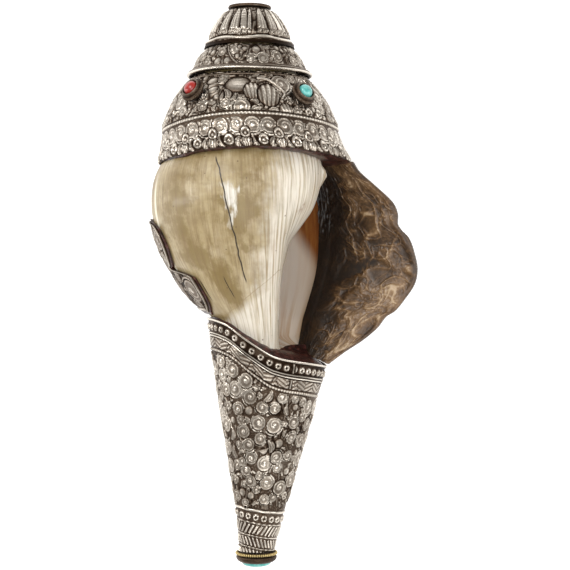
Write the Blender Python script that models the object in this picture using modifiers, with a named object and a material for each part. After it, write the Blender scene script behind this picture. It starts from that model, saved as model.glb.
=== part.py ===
"""A silver-mounted conch trumpet, lying on its back with the mouth of the shell up.

Metres, +Z up. The long axis runs along Y, with the mouthpiece at +Y, and the wing
stands out at +X. The pieces are worked out round the shell's own axis, which is the
Y axis of the empty that carries them. The empty then lifts them onto the floor.

A section across the axis is drawn in polar angles: 0 points right (+X), 90 up out of
the mouth (+Z), 180 left, 270 down at the floor, and 330 is where the outer lip ends.
"""

import math

import bmesh
import bpy
from mathutils import Vector

# The whole trumpet
FLAT_SPOT = 0.0502
GAP = 0.0006
LAC_GAP = 0.0009
LAC_THINNEST = 0.0003
SHEET = 0.0011
MERGE = 1e-6
SHARP_DEGREES = 40

# The shell's outside: height along the axis, centre, then the radius at the right, at the
# inner lip's edge (45 degrees up), the front, the left, the back and the outer lip
SHELL_SECTIONS = (
    (0.1260, -0.0044, 0.0115, 0.0115, 0.0115, 0.0115, 0.0115, 0.0115),
    (0.1080, -0.0044, 0.0255, 0.0255, 0.0255, 0.0255, 0.0255, 0.0255),
    (0.0880, -0.0042, 0.0310, 0.0360, 0.0395, 0.0400, 0.0390, 0.0340),
    (0.0680, -0.0017, 0.0325, 0.0390, 0.0440, 0.0440, 0.0440, 0.0400),
    (0.0620, -0.0010, 0.0320, 0.0400, 0.0465, 0.0497, 0.0460, 0.0430),
    (0.0540, -0.0003, 0.0312, 0.0400, 0.0485, 0.0538, 0.0470, 0.0460),
    (0.0460, 0.0000, 0.0296, 0.0385, 0.0485, 0.0553, 0.0474, 0.0475),
    (0.0380, 0.0004, 0.0265, 0.0345, 0.0475, 0.0556, 0.0474, 0.0478),
    (0.0300, 0.0007, 0.0210, 0.0280, 0.0460, 0.0544, 0.0477, 0.0475),
    (0.0220, 0.0010, 0.0156, 0.0208, 0.0435, 0.0523, 0.0478, 0.0465),
    (0.0140, 0.0014, 0.0130, 0.0172, 0.0410, 0.0494, 0.0474, 0.0452),
    (0.0060, 0.0017, 0.0108, 0.0142, 0.0380, 0.0450, 0.0455, 0.0432),
    (-0.0020, 0.0020, 0.0096, 0.0126, 0.0345, 0.0405, 0.0418, 0.0402),
    (-0.0060, 0.0023, 0.0090, 0.0118, 0.0325, 0.0376, 0.0392, 0.0382),
    (-0.0100, 0.0026, 0.0085, 0.0112, 0.0305, 0.0341, 0.0362, 0.0362),
    (-0.0140, 0.0030, 0.0080, 0.0106, 0.0285, 0.0305, 0.0333, 0.0341),
    (-0.0180, 0.0033, 0.0076, 0.0101, 0.0265, 0.0266, 0.0303, 0.0320),
    (-0.0260, 0.0039, 0.0070, 0.0094, 0.0235, 0.0247, 0.0262, 0.0292),
    (-0.0340, 0.0045, 0.0066, 0.0092, 0.0210, 0.0230, 0.0228, 0.0262),
    (-0.0440, 0.0054, 0.0080, 0.0110, 0.0180, 0.0205, 0.0200, 0.0200),
    (-0.0600, 0.0050, 0.0110, 0.0128, 0.0145, 0.0155, 0.0150, 0.0140),
    (-0.0780, 0.0044, 0.0095, 0.0098, 0.0100, 0.0100, 0.0100, 0.0100),
)
SPIRE_HOLE = 0.0050
SPIRE_HOLE_DEPTH = 0.0200

# The mouth, which runs in from the lip, round the far wall and back along the pillar
LIP_ANGLE = 330
OUTSIDE_STEPS = 33
WALL = 0.0032
LIP_WALL = 0.0009
THINS_FROM = 300
MOUTH_BOTTOM = (-0.037, -0.027)
MOUTH_TOP = (0.054, 0.064)
CAVITY_TURN = 110
PILLAR_BULGE = (-60, 0.86)
PILLAR_SHRINK = 0.78
PILLAR_STEPS = 6
FAR_WALL_STEPS = 8

# The cap over the spire: where its centre line runs, and each sheet's outer profile
CAP_CENTRE = ((0.065, -0.0016), (0.078, -0.0037), (0.090, -0.0044), (0.145, -0.0044))
CROWN_PROFILE = (
    (0.0082, 0.1430), (0.0125, 0.1426), (0.0174, 0.1372), (0.0212, 0.1305),
    (0.0220, 0.1270), (0.0238, 0.1252), (0.0246, 0.1232),
)
CROWN_FLUTES = 16
CROWN_FLUTE_DEPTH = 0.0007
CROWN_FLUTE_FADE = ((0.1425, 0.1385), (0.1250, 0.1275))
SKIRT_PROFILE = (
    (0.0316, 0.1068), (0.0350, 0.1030), (0.0400, 0.0970), (0.0432, 0.0915), (0.0453, 0.0870),
    (0.0461, 0.0850), (0.0467, 0.0790), (0.0484, 0.0725), (0.0504, 0.0675), (0.0507, 0.0650),
)
SKIRT_PETALS = 20
SKIRT_PETAL_DEPTH = 0.0005
SKIRT_PETAL_FADE = (0.0840, 0.0785)

# The turned pieces of the cap: radius and height, down the outside and back up the inside
COLLAR_PROFILE = (
    (0.0232, 0.1226), (0.0274, 0.1178), (0.0304, 0.1118), (0.0327, 0.1104), (0.0331, 0.1088),
    (0.0318, 0.1074), (0.0306, 0.1074), (0.0291, 0.1112), (0.0221, 0.1217),
)
MOUTHPIECE_PROFILE = (
    (0.0064, 0.1452), (0.0108, 0.1452), (0.0113, 0.1444), (0.0110, 0.1436),
    (0.0068, 0.1436), (0.0068, 0.1268), (0.0052, 0.1268), (0.0052, 0.1436),
)
CAP_RESIN = ((0.0675, True), (0.0650, True), (0.0650, False), (0.0672, False))

# The stones on the cap: each has an angle round from the front, positive to the right, and a height
STONES = (
    ("coral", -41, 0.0968, "coral"), ("turquoise", 40, 0.0949, "turquoise"),
    ("back_turquoise", 177, 0.0950, "turquoise"),
)
STONE_TILT = 30
STONE_SEAT = 0.0010
BEZEL_PROFILE = (
    (0.0045, 0.0037), (0.0051, 0.0035), (0.0059, 0.0019), (0.0064, 0.0009), (0.0062, 0.0), (0.0041, 0.0),
)
CABOCHON_PROFILE = (
    (0.0, 0.0055), (0.0021, 0.0050), (0.0036, 0.0034), (0.0037, 0.0008), (0.0, 0.0008),
)

# The wing: its rim seen from the front, as height and distance out, and how high the rim stands
WING_TOP = 0.0640
WING_ROOT_BOTTOM = -0.0318
WING_RIM_BOTTOM = -0.0412
WING_OUTLINE = (
    (-0.0415, 0.0372), (-0.0353, 0.0455), (-0.0290, 0.0549), (-0.0227, 0.0622), (-0.0168, 0.0668),
    (-0.0140, 0.0712), (-0.0085, 0.0758), (0.0000, 0.0814), (0.0076, 0.0831), (0.0150, 0.0817),
    (0.0240, 0.0786), (0.0285, 0.0745), (0.0312, 0.0728), (0.0368, 0.0727), (0.0430, 0.0700),
    (0.0525, 0.0601), (0.0590, 0.0530), (0.0640, 0.0498),
)
WING_RIM_HEIGHT = ((-0.042, -0.0020), (-0.020, 0.0020), (0.010, 0.0040), (0.040, 0.0030), (0.062, 0.0))
WING_REACH = 0.36
WING_RIM_RISE = 0.22
WING_ROWS = 17
WING_COLUMNS = 9
LINING_START = 310
LINING_WALL_SHARE = 2 / 9
LINING_CLOSED_START = 0.20
LINING = 0.0018
SHEET_START = 300
SHEET_WALL_SHARE = 3 / 9
SHEET_LIFT = 0.0012
RIM_PARTING = 0.0003
PARTING_NARROWS = (0.2, 1.0)
LINING_LEAVES_LIP = (0.8, 1.0)
LIP_RUN = 6
SLOPE_STEP = 0.02

# The back panel and the lac under it, with the distances of their faces from the shell
PANEL_ANGLES = (150, 296)
PANEL_TOP = (
    (150, -0.0020), (160, 0.0060), (170, 0.0150), (180, 0.0290), (195, 0.0360),
    (215, 0.0430), (240, 0.0480), (300, 0.0480),
)
PANEL_OVER_CONE = 0.0036
PANEL_ROWS = 9
PANEL_COLUMN = 10
LAC_INSET = 0.0012
LAC_FACES = (0.0010, 0.0015)
LAC_LOWEST = 0.0488
PANEL_FACES = (0.0021, 0.0034)

# The cone over the shell's canal: height, centre and radius, and where its top edge runs
CONE_SECTIONS = (
    (-0.1384, -0.0008, 0.0102), (-0.1330, -0.0002, 0.0106), (-0.1230, 0.0010, 0.0125),
    (-0.1074, 0.0020, 0.0159), (-0.0917, 0.0031, 0.0193), (-0.0760, 0.0042, 0.0230),
    (-0.0603, 0.0051, 0.0263), (-0.0447, 0.0062, 0.0298), (-0.0320, 0.0064, 0.0318),
    (-0.0170, 0.0064, 0.0334),
)
CONE_EDGE = (
    (0, -0.0430), (45, -0.0402), (85, -0.0363), (108, -0.0290), (136, -0.0195), (180, -0.0175),
    (225, -0.0205), (270, -0.0270), (315, -0.0385), (360, -0.0430),
)
CONE_LEVEL_TOP = -0.0330
CONE_LEVELS_OUT = (0.15, 0.90)
CONE_FOOT = -0.1384
CONE_RIM = 0.0005
CONE_ROWS = 11
CONE_INSIDE_ROWS = 4
CONE_RESIN_DEPTH = 0.0060
CONE_RESIN_RISE = (
    (0, 0.0080), (90, 0.0040), (135, 0.0006), (180, 0.0002), (230, 0.0004), (270, 0.0010),
    (310, 0.0016), (360, 0.0080),
)
CONE_RESIN_SOLE = 0.0045

# The turned pieces at the cone's end: radius and height
BEAD_RING_PROFILE = (
    (0.0094, -0.1392), (0.0108, -0.1392), (0.0115, -0.1400), (0.0108, -0.1408), (0.0094, -0.1408),
)
TIP_CUP_PROFILE = (
    (0.0, -0.1412), (0.0104, -0.1412), (0.0108, -0.1422), (0.0100, -0.1438), (0.0084, -0.1451),
    (0.0078, -0.1451), (0.0075, -0.1436), (0.0, -0.1436),
)
TIP_STONE_PROFILE = (
    (0.0, -0.1439), (0.0069, -0.1439), (0.0072, -0.1449), (0.0050, -0.1464), (0.0, -0.1471),
)

# How many facets go round
CAP_SIDES = 40
CROWN_SIDES = 32
COLLAR_SIDES = 28
CONE_SIDES = 36
LAC_SIDES = 36
SMALL_SIDES = 16
STONE_SIDES = 10

FINISHES = {
    "shell": ((0.63, 0.53, 0.36), 0.3, 0.0),
    "silver": ((0.55, 0.52, 0.48), 0.35, 1.0),
    "gilt_wire": ((0.60, 0.50, 0.30), 0.4, 1.0),
    "lac": ((0.060, 0.022, 0.018), 0.6, 0.0),
    "brown_skin": ((0.11, 0.072, 0.045), 0.45, 0.0),
    "coral": ((0.50, 0.035, 0.02), 0.3, 0.0),
    "turquoise": ((0.14, 0.55, 0.52), 0.35, 0.0),
}


def mix(a, b, share):
    return a + (b - a) * share


def steps(first, last, count):
    """count + 1 evenly spaced values from first to last."""
    return [mix(first, last, k / count) for k in range(count + 1)]


def ease(low, high, x):
    """0 at low, 1 at high, held beyond them, with a smooth step between."""
    t = min(max((x - low) / (high - low), 0.0), 1.0)
    return t * t * (3 - 2 * t)


def smooth(knots, x):
    """The value at x of a smooth curve through (place, value) knots in rising order."""
    if x <= knots[0][0]:
        return knots[0][1]
    if x >= knots[-1][0]:
        return knots[-1][1]
    i = max(k for k in range(len(knots) - 1) if knots[k][0] <= x)

    def slope(k):
        low, high = max(k - 1, 0), min(k + 1, len(knots) - 1)
        return (knots[high][1] - knots[low][1]) / (knots[high][0] - knots[low][0])

    (x0, y0), (x1, y1) = knots[i], knots[i + 1]
    span = x1 - x0
    t = (x - x0) / span
    from_first = y0 * (2 * t**3 - 3 * t**2 + 1) + slope(i) * span * (t**3 - 2 * t**2 + t)
    from_second = y1 * (3 * t**2 - 2 * t**3) + slope(i + 1) * span * (t**3 - t**2)
    return from_first + from_second


def polar(centre, angle, radius, y):
    turn = math.radians(angle)
    return Vector((centre + radius * math.cos(turn), y, radius * math.sin(turn)))


def finish(name):
    """The named material, made once."""
    made = bpy.data.materials.get(name)
    if made:
        return made
    colour, roughness, metallic = FINISHES[name]
    made = bpy.data.materials.new(name)
    made.use_nodes = True
    surface = made.node_tree.nodes["Principled BSDF"]
    surface.inputs["Base Color"].default_value = (*colour, 1.0)
    surface.inputs["Roughness"].default_value = roughness
    surface.inputs["Metallic"].default_value = metallic
    made.diffuse_color = (*colour, 1.0)
    return made


def mesh_of(name, bm):
    """Makes the mesh from a closed bmesh, with its faces pointing out."""
    bmesh.ops.recalc_face_normals(bm, faces=bm.faces)
    if bm.calc_volume(signed=True) < 0:
        bmesh.ops.reverse_faces(bm, faces=bm.faces)
    mesh = bpy.data.meshes.new(name)
    bm.to_mesh(mesh)
    bm.free()
    mesh.shade_smooth()
    mesh.set_sharp_from_angle(angle=math.radians(SHARP_DEGREES))
    return mesh


def skin(name, rings):
    """A closed skin: a grid laid over rings of points, with the points that meet merged."""
    bm = bmesh.new()
    bmesh.ops.create_grid(bm, x_segments=len(rings[0]) - 1, y_segments=len(rings) - 1, size=1.0)
    for vert, place in zip(bm.verts, (point for ring in rings for point in ring)):
        vert.co = place
    bmesh.ops.remove_doubles(bm, verts=bm.verts, dist=MERGE)
    return mesh_of(name, bm)


def plate(name, columns, rows, face, back):
    """A closed plate: a grid extruded to two sides, each placed by (share across, share down)."""
    bm = bmesh.new()
    bmesh.ops.create_grid(bm, x_segments=columns, y_segments=rows, size=0.5)
    grown = bmesh.ops.extrude_face_region(bm, geom=bm.faces[:], use_keep_orig=True)["geom"]
    copied = [part for part in grown if isinstance(part, bmesh.types.BMVert)]
    bmesh.ops.translate(bm, verts=copied, vec=(0.0, 0.0, 1.0))
    for vert in bm.verts:
        side = back if vert.co.z > 0.5 else face
        vert.co = side(vert.co.x + 0.5, 0.5 - vert.co.y)
    return mesh_of(name, bm)


def turned(name, profile, sides):
    """An object whose profile of (radius, height) a Screw modifier turns about Z."""
    bm = bmesh.new()
    points = [bm.verts.new((radius, 0.0, height)) for radius, height in profile]
    on_axis = profile[0][0] == 0
    for pair in zip(points, points[1:] if on_axis else points[1:] + points[:1]):
        bm.edges.new(pair)
    mesh = bpy.data.meshes.new(name)
    bm.to_mesh(mesh)
    bm.free()
    piece = bpy.data.objects.new(name, mesh)
    turn = piece.modifiers.new("turn", "SCREW")
    turn.axis = "Z"
    turn.steps = turn.render_steps = sides
    turn.use_merge_vertices = True
    turn.merge_threshold = 1e-5
    turn.use_smooth_shade = True
    return piece


def shell_centre(y):
    return smooth([(section[0], section[1]) for section in reversed(SHELL_SECTIONS)], y)


def shell_radius(angle, y):
    """The spiral of the shell's outside. Angles under 0 follow the pillar inside the mouth."""
    right, inner_lip, front, left, back, lip = (
        smooth([(section[0], section[k]) for section in reversed(SHELL_SECTIONS)], y) for k in range(2, 8)
    )
    spiral = (
        (-CAVITY_TURN, right * PILLAR_SHRINK), (PILLAR_BULGE[0], right * PILLAR_BULGE[1]), (0, right),
        (45, inner_lip), (90, front), (180, left), (270, back), (LIP_ANGLE, lip),
    )
    return smooth(spiral, angle)


def shell_point(angle, y, inward=0.0):
    return polar(shell_centre(y), angle, shell_radius(angle, y) - inward, y)


def wall_thickness(angle):
    return mix(WALL, LIP_WALL, ease(THINS_FROM, LIP_ANGLE, angle))


def mouth_openness(y):
    """1 where the mouth is open to its full depth, 0 where the section is filled in."""
    return ease(*MOUTH_BOTTOM, y) * (1 - ease(*MOUTH_TOP, y))


def shell_ring(y):
    """A section: round the outside from lip to pillar, into the mouth and back along the far wall."""
    outside = [shell_point(a, y) for a in steps(LIP_ANGLE, 0, OUTSIDE_STEPS)]
    pillar = [shell_point(a, y) for a in steps(0, -CAVITY_TURN, PILLAR_STEPS)[1:]]
    far = [shell_point(a, y, wall_thickness(a)) for a in steps(360 - CAVITY_TURN, LIP_ANGLE, FAR_WALL_STEPS)]
    inside = pillar + [pillar[-1].lerp(far[0], 0.5)] + far
    across = [outside[-1].lerp(far[-1], (k + 1) / len(inside)) for k in range(len(inside))]
    openness = mouth_openness(y)
    mouth = [flat.lerp(deep, openness) for flat, deep in zip(across, inside)]
    return outside + mouth + outside[:1]


def conch_shell():
    """The natural shell, lofted through its sections, with the hole bored in its spire."""
    rings = [shell_ring(section[0]) for section in SHELL_SECTIONS]
    apex, centre = SHELL_SECTIONS[0][0], SHELL_SECTIONS[0][1]
    foot, foot_centre = SHELL_SECTIONS[-1][0], SHELL_SECTIONS[-1][1]
    angles = [math.degrees(math.atan2(point.z, point.x - centre)) for point in rings[0]]
    bore = [
        [polar(centre, angle, radius, y) for angle in angles]
        for radius, y in ((0.0, apex - SPIRE_HOLE_DEPTH), (SPIRE_HOLE, apex - SPIRE_HOLE_DEPTH), (SPIRE_HOLE, apex))
    ]
    return skin("conch_shell", bore + rings + [[Vector((foot_centre, foot, 0.0))] * len(angles)])


def cap_centre(y):
    return smooth(CAP_CENTRE, y)


def moved_in(profile, distance):
    """The profile moved in square to its own run, with every other inner point left out."""
    moved = []
    for k, (radius, y) in enumerate(profile):
        before, after = profile[max(k - 1, 0)], profile[min(k + 1, len(profile) - 1)]
        run = Vector((after[0] - before[0], after[1] - before[1])).normalized()
        moved.append((radius + run.y * distance, y - run.x * distance))
    return moved[:1] + moved[2:-1:2] + moved[-1:]


def skirt_radius(y):
    return smooth([(height, radius) for radius, height in reversed(SKIRT_PROFILE)], y)


def crown_flutes(angle, y):
    """Upright petals round the crown, which die out at its top and at its rim."""
    fade = ease(*CROWN_FLUTE_FADE[0], y) * ease(*CROWN_FLUTE_FADE[1], y)
    return CROWN_FLUTE_DEPTH * math.cos(math.radians(angle) * CROWN_FLUTES) * fade


def skirt_petals(angle, y):
    """The band of petals at the skirt's foot."""
    return SKIRT_PETAL_DEPTH * math.cos(math.radians(angle) * SKIRT_PETALS) * ease(*SKIRT_PETAL_FADE, y)


def cap_sheet(name, profile, relief, sides):
    """A sheet of the cap: down its outer face and back up its inner one, worn flat underneath."""
    outside = [(radius, y, FLAT_SPOT) for radius, y in profile]
    inside = [(radius, y, FLAT_SPOT - SHEET) for radius, y in reversed(moved_in(profile, SHEET))]
    rings = []
    for radius, y, lowest in outside + inside + outside[:1]:
        ring = [polar(cap_centre(y), a, radius + relief(a, y), y) for a in steps(0, 360, sides)]
        for point in ring:
            point.z = max(point.z, -lowest)
        rings.append(ring)
    return skin(name, rings)


def ray_to_circle(origin, angle, centre, radius):
    """How far it is from one place on the X axis, along an angle, to a circle about another."""
    turn = math.radians(angle)
    offset = centre - origin
    return offset * math.cos(turn) + math.sqrt(radius**2 - (offset * math.sin(turn)) ** 2)


def outline_radius(angle, y):
    """The shell's outline, with its mouth closed by a straight line from the pillar to the lip."""
    if angle <= LIP_ANGLE:
        return shell_radius(angle, y)
    opening = math.radians(360 - LIP_ANGLE)
    turned_by = math.radians(angle - LIP_ANGLE)
    lip, pillar = shell_radius(LIP_ANGLE, y), shell_radius(0, y)
    return lip * pillar * math.sin(opening) / (
        lip * math.sin(turned_by) + pillar * math.sin(opening - turned_by)
    )


def lac_ring(name, sides, corners):
    """A ring of lac round the shell. corners(angle) gives its section, as radii and heights."""
    sections = [(a, corners(a)) for a in steps(0, 360, sides)]
    rings = []
    for k in range(len(sections[0][1]) + 1):
        ring = []
        for angle, section in sections:
            radius, y = section[k % len(section)]
            ring.append(polar(shell_centre(y), angle, radius, y))
        rings.append(ring)
    return skin(name, rings)


def against_shell(angle, y, outer):
    """The radius that clears the shell's outline, kept inside the lac's outer radius."""
    return min(outline_radius(angle, y) + LAC_GAP, outer - LAC_THINNEST)


def cap_resin():
    """The lac under the skirt's edge, from the sheet in to the shell."""
    def corners(angle):
        section = []
        for y, at_skirt in CAP_RESIN:
            inside = skirt_radius(y) - SHEET - SKIRT_PETAL_DEPTH - GAP
            outer = ray_to_circle(shell_centre(y), angle, cap_centre(y), inside)
            section.append((outer if at_skirt else against_shell(angle, y, outer), y))
        return section

    return lac_ring("cap_resin", LAC_SIDES, corners)


def cone_centre(y):
    return smooth([(section[0], section[1]) for section in CONE_SECTIONS], y)


def cone_radius(y):
    return smooth([(section[0], section[2]) for section in CONE_SECTIONS], y)


def cone_edge(angle):
    return smooth(CONE_EDGE, angle)


def cone_resin():
    """The lac in the cone's mouth, which rises from the sheath's edge to the shell."""

    def corners(angle):
        edge, rise = cone_edge(angle), smooth(CONE_RESIN_RISE, angle)
        section = []
        for y, at_cone in (
            (edge - CONE_RESIN_DEPTH, True), (edge, True), (edge + rise, False), (edge - CONE_RESIN_SOLE, False),
        ):
            below = min(y, edge)
            outer = ray_to_circle(
                shell_centre(y), angle, cone_centre(below), cone_radius(below) - SHEET - LAC_GAP
            )
            section.append((outer if at_cone else against_shell(angle, y, outer), y))
        return section

    return lac_ring("cone_resin", LAC_SIDES, corners)


def cone():
    """The sheath: down its outer face from the wavy top edge, and back up its inner one."""

    def height(angle, share):
        """Near the top a ring runs beside the wavy edge, and it is level at the foot."""
        level = mix(CONE_LEVEL_TOP, CONE_FOOT, share)
        beside_edge = level + cone_edge(angle) - CONE_LEVEL_TOP
        return mix(beside_edge, level, ease(*CONE_LEVELS_OUT, share))

    outside = [(share, CONE_RIM if share == 0 else 0.0) for share in steps(0, 1, CONE_ROWS)]
    inside = [(share, -SHEET) for share in steps(1, 0, CONE_INSIDE_ROWS)]
    rings = []
    for share, outward in outside + inside + outside[:1]:
        ring = []
        for angle in steps(0, 360, CONE_SIDES):
            y = height(angle, share)
            ring.append(polar(cone_centre(y), angle, cone_radius(y) + outward, y))
        rings.append(ring)
    return skin("cone", rings)


def wing_point(start, share, y):
    """The wing's middle line: share is -1 deep in the lip's wall, 0 at the lip and 1 at the rim."""

    def in_wall(angle):
        return shell_point(angle, y, wall_thickness(angle) / 2)

    if share <= 0:
        return in_wall(mix(LIP_ANGLE, start, -share))
    lip = in_wall(LIP_ANGLE)
    rim = Vector((smooth(WING_OUTLINE, y), y, smooth(WING_RIM_HEIGHT, y)))
    reach = (rim - lip).length * WING_REACH
    out_of_lip = ((lip - in_wall(LIP_ANGLE - LIP_RUN)).normalized() + (rim - lip).normalized()) / 2
    into_rim = Vector((1.0, 0.0, WING_RIM_RISE)).normalized()
    t = share
    return (
        lip * (1 - t) ** 3
        + (lip + out_of_lip * reach) * (3 * t * (1 - t) ** 2)
        + (rim - into_rim * reach) * (3 * t * t * (1 - t))
        + rim * t**3
    )


def wing_side(start, wall_share, outward, closed_start=-1.0):
    """One side of a skin of the wing, set off its middle line by outward(share, angle in the wall)."""

    def place(across, down):
        open_share = across / wall_share - 1 if across < wall_share else (across - wall_share) / (1 - wall_share)
        openness = mouth_openness(mix(WING_TOP, WING_ROOT_BOTTOM, down))
        first = mix(closed_start, -1.0, ease(*LINING_LEAVES_LIP, openness))
        share = 1 - (1 - open_share) * (1 - first) / 2
        y = mix(WING_TOP, mix(WING_ROOT_BOTTOM, WING_RIM_BOTTOM, max(share, 0.0)), down)
        run = wing_point(start, min(share + SLOPE_STEP, 1.0), y) - wing_point(start, share - SLOPE_STEP, y)
        up = Vector((-run.z, 0.0, run.x)).normalized()
        angle = min(mix(LIP_ANGLE, start, -share), LIP_ANGLE)
        return wing_point(start, share, y) + up * outward(share, angle)

    return place


def clear_of_wall(share, angle):
    """Half the lip's wall and a gap, closing towards the rim, where no shell is between the skins."""
    return mix(wall_thickness(angle) / 2 + GAP, RIM_PARTING, ease(*PARTING_NARROWS, share))


def wing_lining():
    """The brown skin, which starts inside the mouth and leaves the lip where the mouth is closed."""

    def side(thickness):
        return wing_side(
            LINING_START, LINING_WALL_SHARE, lambda share, angle: clear_of_wall(share, angle) + thickness,
            LINING_CLOSED_START,
        )

    return plate("wing_lining", WING_COLUMNS, WING_ROWS, side(LINING), side(0.0))


def wing_sheet():
    """The silver skin, which starts on the shell's outside beside the back panel."""

    def side(thickness):
        def outward(share, angle):
            lift = SHEET_LIFT * (1 - ease(SHEET_START, LIP_ANGLE, angle))
            return -clear_of_wall(share, angle) - lift - thickness

        return wing_side(SHEET_START, SHEET_WALL_SHARE, outward)

    return plate("wing_sheet", WING_COLUMNS, WING_ROWS, side(SHEET), side(0.0))


def panel_columns():
    """Its columns stand where the shell's own do, so that its facets lie along the shell's."""
    first, last = PANEL_ANGLES
    return math.ceil((last - first) / PANEL_COLUMN)


def panel_side(distance, lowest, inset=0.0):
    """One side of the back panel or its lac, at a distance from the shell and no lower than lowest."""

    def place(across, down):
        angle = min(PANEL_ANGLES[0] + PANEL_COLUMN * across * panel_columns(), PANEL_ANGLES[1])
        y = mix(smooth(PANEL_TOP, angle) - inset, cone_edge(angle) + PANEL_OVER_CONE + inset, down)
        point = shell_point(angle, y, -distance)
        point.z = max(point.z, -lowest)
        return point

    return place


def back_panel():
    inner, outer = PANEL_FACES
    return plate(
        "back_panel", panel_columns(), PANEL_ROWS,
        panel_side(outer, FLAT_SPOT), panel_side(inner, FLAT_SPOT - SHEET),
    )


def panel_resin():
    inner, outer = LAC_FACES
    return plate(
        "panel_resin", panel_columns(), PANEL_ROWS,
        panel_side(outer, LAC_LOWEST, LAC_INSET), panel_side(inner, LAC_LOWEST, LAC_INSET),
    )


def stone_places():
    """Each stone's name, material, place on the skirt and the way that it faces."""
    tilt = math.radians(STONE_TILT)
    for name, angle, height, material in STONES:
        radius = skirt_radius(height) + STONE_SEAT
        turn = math.radians(angle)
        outward = Vector((math.sin(turn), 0.0, math.cos(turn)))
        place = Vector((cap_centre(height), height, 0.0)) + outward * radius
        yield name, material, place, outward * math.cos(tilt) + Vector((0.0, math.sin(tilt), 0.0))


def build():
    for old in list(bpy.data.objects):
        bpy.data.objects.remove(old)
    collection = bpy.data.collections.new("silver_mounted_conch")
    bpy.context.scene.collection.children.link(collection)
    carrier = bpy.data.objects.new("trumpet_axis", None)
    collection.objects.link(carrier)

    def add(piece, material):
        piece.data.materials.append(finish(material))
        collection.objects.link(piece)
        piece.parent = carrier
        return piece

    for mesh, material in (
        (conch_shell(), "shell"),
        (cap_sheet("crown", CROWN_PROFILE, crown_flutes, CROWN_SIDES), "silver"),
        (cap_sheet("skirt", SKIRT_PROFILE, skirt_petals, CAP_SIDES), "silver"),
        (cap_resin(), "lac"),
        (wing_lining(), "brown_skin"),
        (wing_sheet(), "silver"),
        (back_panel(), "silver"),
        (panel_resin(), "lac"),
        (cone(), "silver"),
        (cone_resin(), "lac"),
    ):
        add(bpy.data.objects.new(mesh.name, mesh), material)

    # These turned pieces are drawn standing on Z and laid along the trumpet's axis.
    cap_x, foot_x = CAP_CENTRE[-1][1], CONE_SECTIONS[0][1]
    for name, profile, sides, material, x in (
        ("mouthpiece", MOUTHPIECE_PROFILE, SMALL_SIDES, "silver", cap_x),
        ("scroll_collar", COLLAR_PROFILE, COLLAR_SIDES, "silver", cap_x),
        ("tip_bead_ring", BEAD_RING_PROFILE, SMALL_SIDES, "gilt_wire", foot_x),
        ("tip_cup", TIP_CUP_PROFILE, SMALL_SIDES, "silver", foot_x),
        ("tip_turquoise", TIP_STONE_PROFILE, SMALL_SIDES, "turquoise", foot_x),
    ):
        piece = add(turned(name, profile, sides), material)
        piece.location.x = x
        piece.rotation_euler.x = -math.pi / 2

    for name, material, place, facing in stone_places():
        setting = name.replace("_turquoise", "") + "_bezel"
        for piece_name, profile, look in ((setting, BEZEL_PROFILE, "silver"), (name, CABOCHON_PROFILE, material)):
            piece = add(turned(piece_name, profile, STONE_SIDES), look)
            piece.location = place
            piece.rotation_euler = facing.to_track_quat("Z", "Y").to_euler()

    # The floor's origin is under the middle of the trumpet's outline.
    bpy.context.view_layer.update()
    graph = bpy.context.evaluated_depsgraph_get()
    corners = []
    for piece in carrier.children:
        shaped = piece.evaluated_get(graph)
        corners += [shaped.matrix_world @ vert.co for vert in shaped.data.vertices]
    low, high = (Vector([limit(c[k] for c in corners) for k in range(3)]) for limit in (min, max))
    carrier.location = (-(low.x + high.x) / 2, -(low.y + high.y) / 2, -low.z)


build()
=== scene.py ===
# %% [markdown]
# # A conch trumpet in silver mounts
#
# The trumpet is a large chank shell. A silver cap set with small stones covers its spire,
# a long silver sheath covers its canal, and a wing of silver sheet and dark lacquered skin
# flares from its lip. The silver is repousse: thin sheet hammered from behind into scrolls
# and petals, then chased from the front, with dark tarnish left in the hollows.
#
# The CAD model gives the main shapes. Every piece here is laid over one of its nodes with a
# fine grid of faces, so that the hammered relief is real geometry.

import math

import bmesh
import bpy
import numpy as np
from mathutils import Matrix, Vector


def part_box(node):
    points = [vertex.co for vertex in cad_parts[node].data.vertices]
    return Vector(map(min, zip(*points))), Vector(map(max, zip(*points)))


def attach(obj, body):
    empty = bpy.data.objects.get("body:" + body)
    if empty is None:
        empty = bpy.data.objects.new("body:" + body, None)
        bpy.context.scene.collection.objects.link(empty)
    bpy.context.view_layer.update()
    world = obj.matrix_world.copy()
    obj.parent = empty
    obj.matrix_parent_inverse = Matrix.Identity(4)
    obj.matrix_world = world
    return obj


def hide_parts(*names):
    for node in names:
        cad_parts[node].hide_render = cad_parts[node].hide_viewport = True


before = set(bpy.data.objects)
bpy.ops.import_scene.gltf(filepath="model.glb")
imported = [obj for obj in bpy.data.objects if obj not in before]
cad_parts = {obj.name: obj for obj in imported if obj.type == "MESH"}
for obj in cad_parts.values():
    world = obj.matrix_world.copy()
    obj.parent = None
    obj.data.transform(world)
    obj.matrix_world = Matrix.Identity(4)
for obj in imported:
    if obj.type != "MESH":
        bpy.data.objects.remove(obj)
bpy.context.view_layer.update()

# %% [markdown]
# ## Where the trumpet's axis is
#
# The trumpet lies on its back, so its long axis hangs about 5 cm over the floor. All the
# shapes are easiest to think of around that axis: a place is an angle round it (0 to the
# right, 90 up to the viewer, 180 left, 270 down), a distance from it, and a height along it.
# The mouthpiece is round and its place is known exactly, so the axis is found from that node.

# %% The axis, found from the mouthpiece
MM = 0.001
CAP_X = -0.0044
MOUTHPIECE_TOP = 0.1452
low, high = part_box("mouthpiece")
AXIS = np.array([(low[0] + high[0]) / 2 - CAP_X, high[1] - MOUTHPIECE_TOP, (low[2] + high[2]) / 2])
print("axis origin", AXIS)


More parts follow.
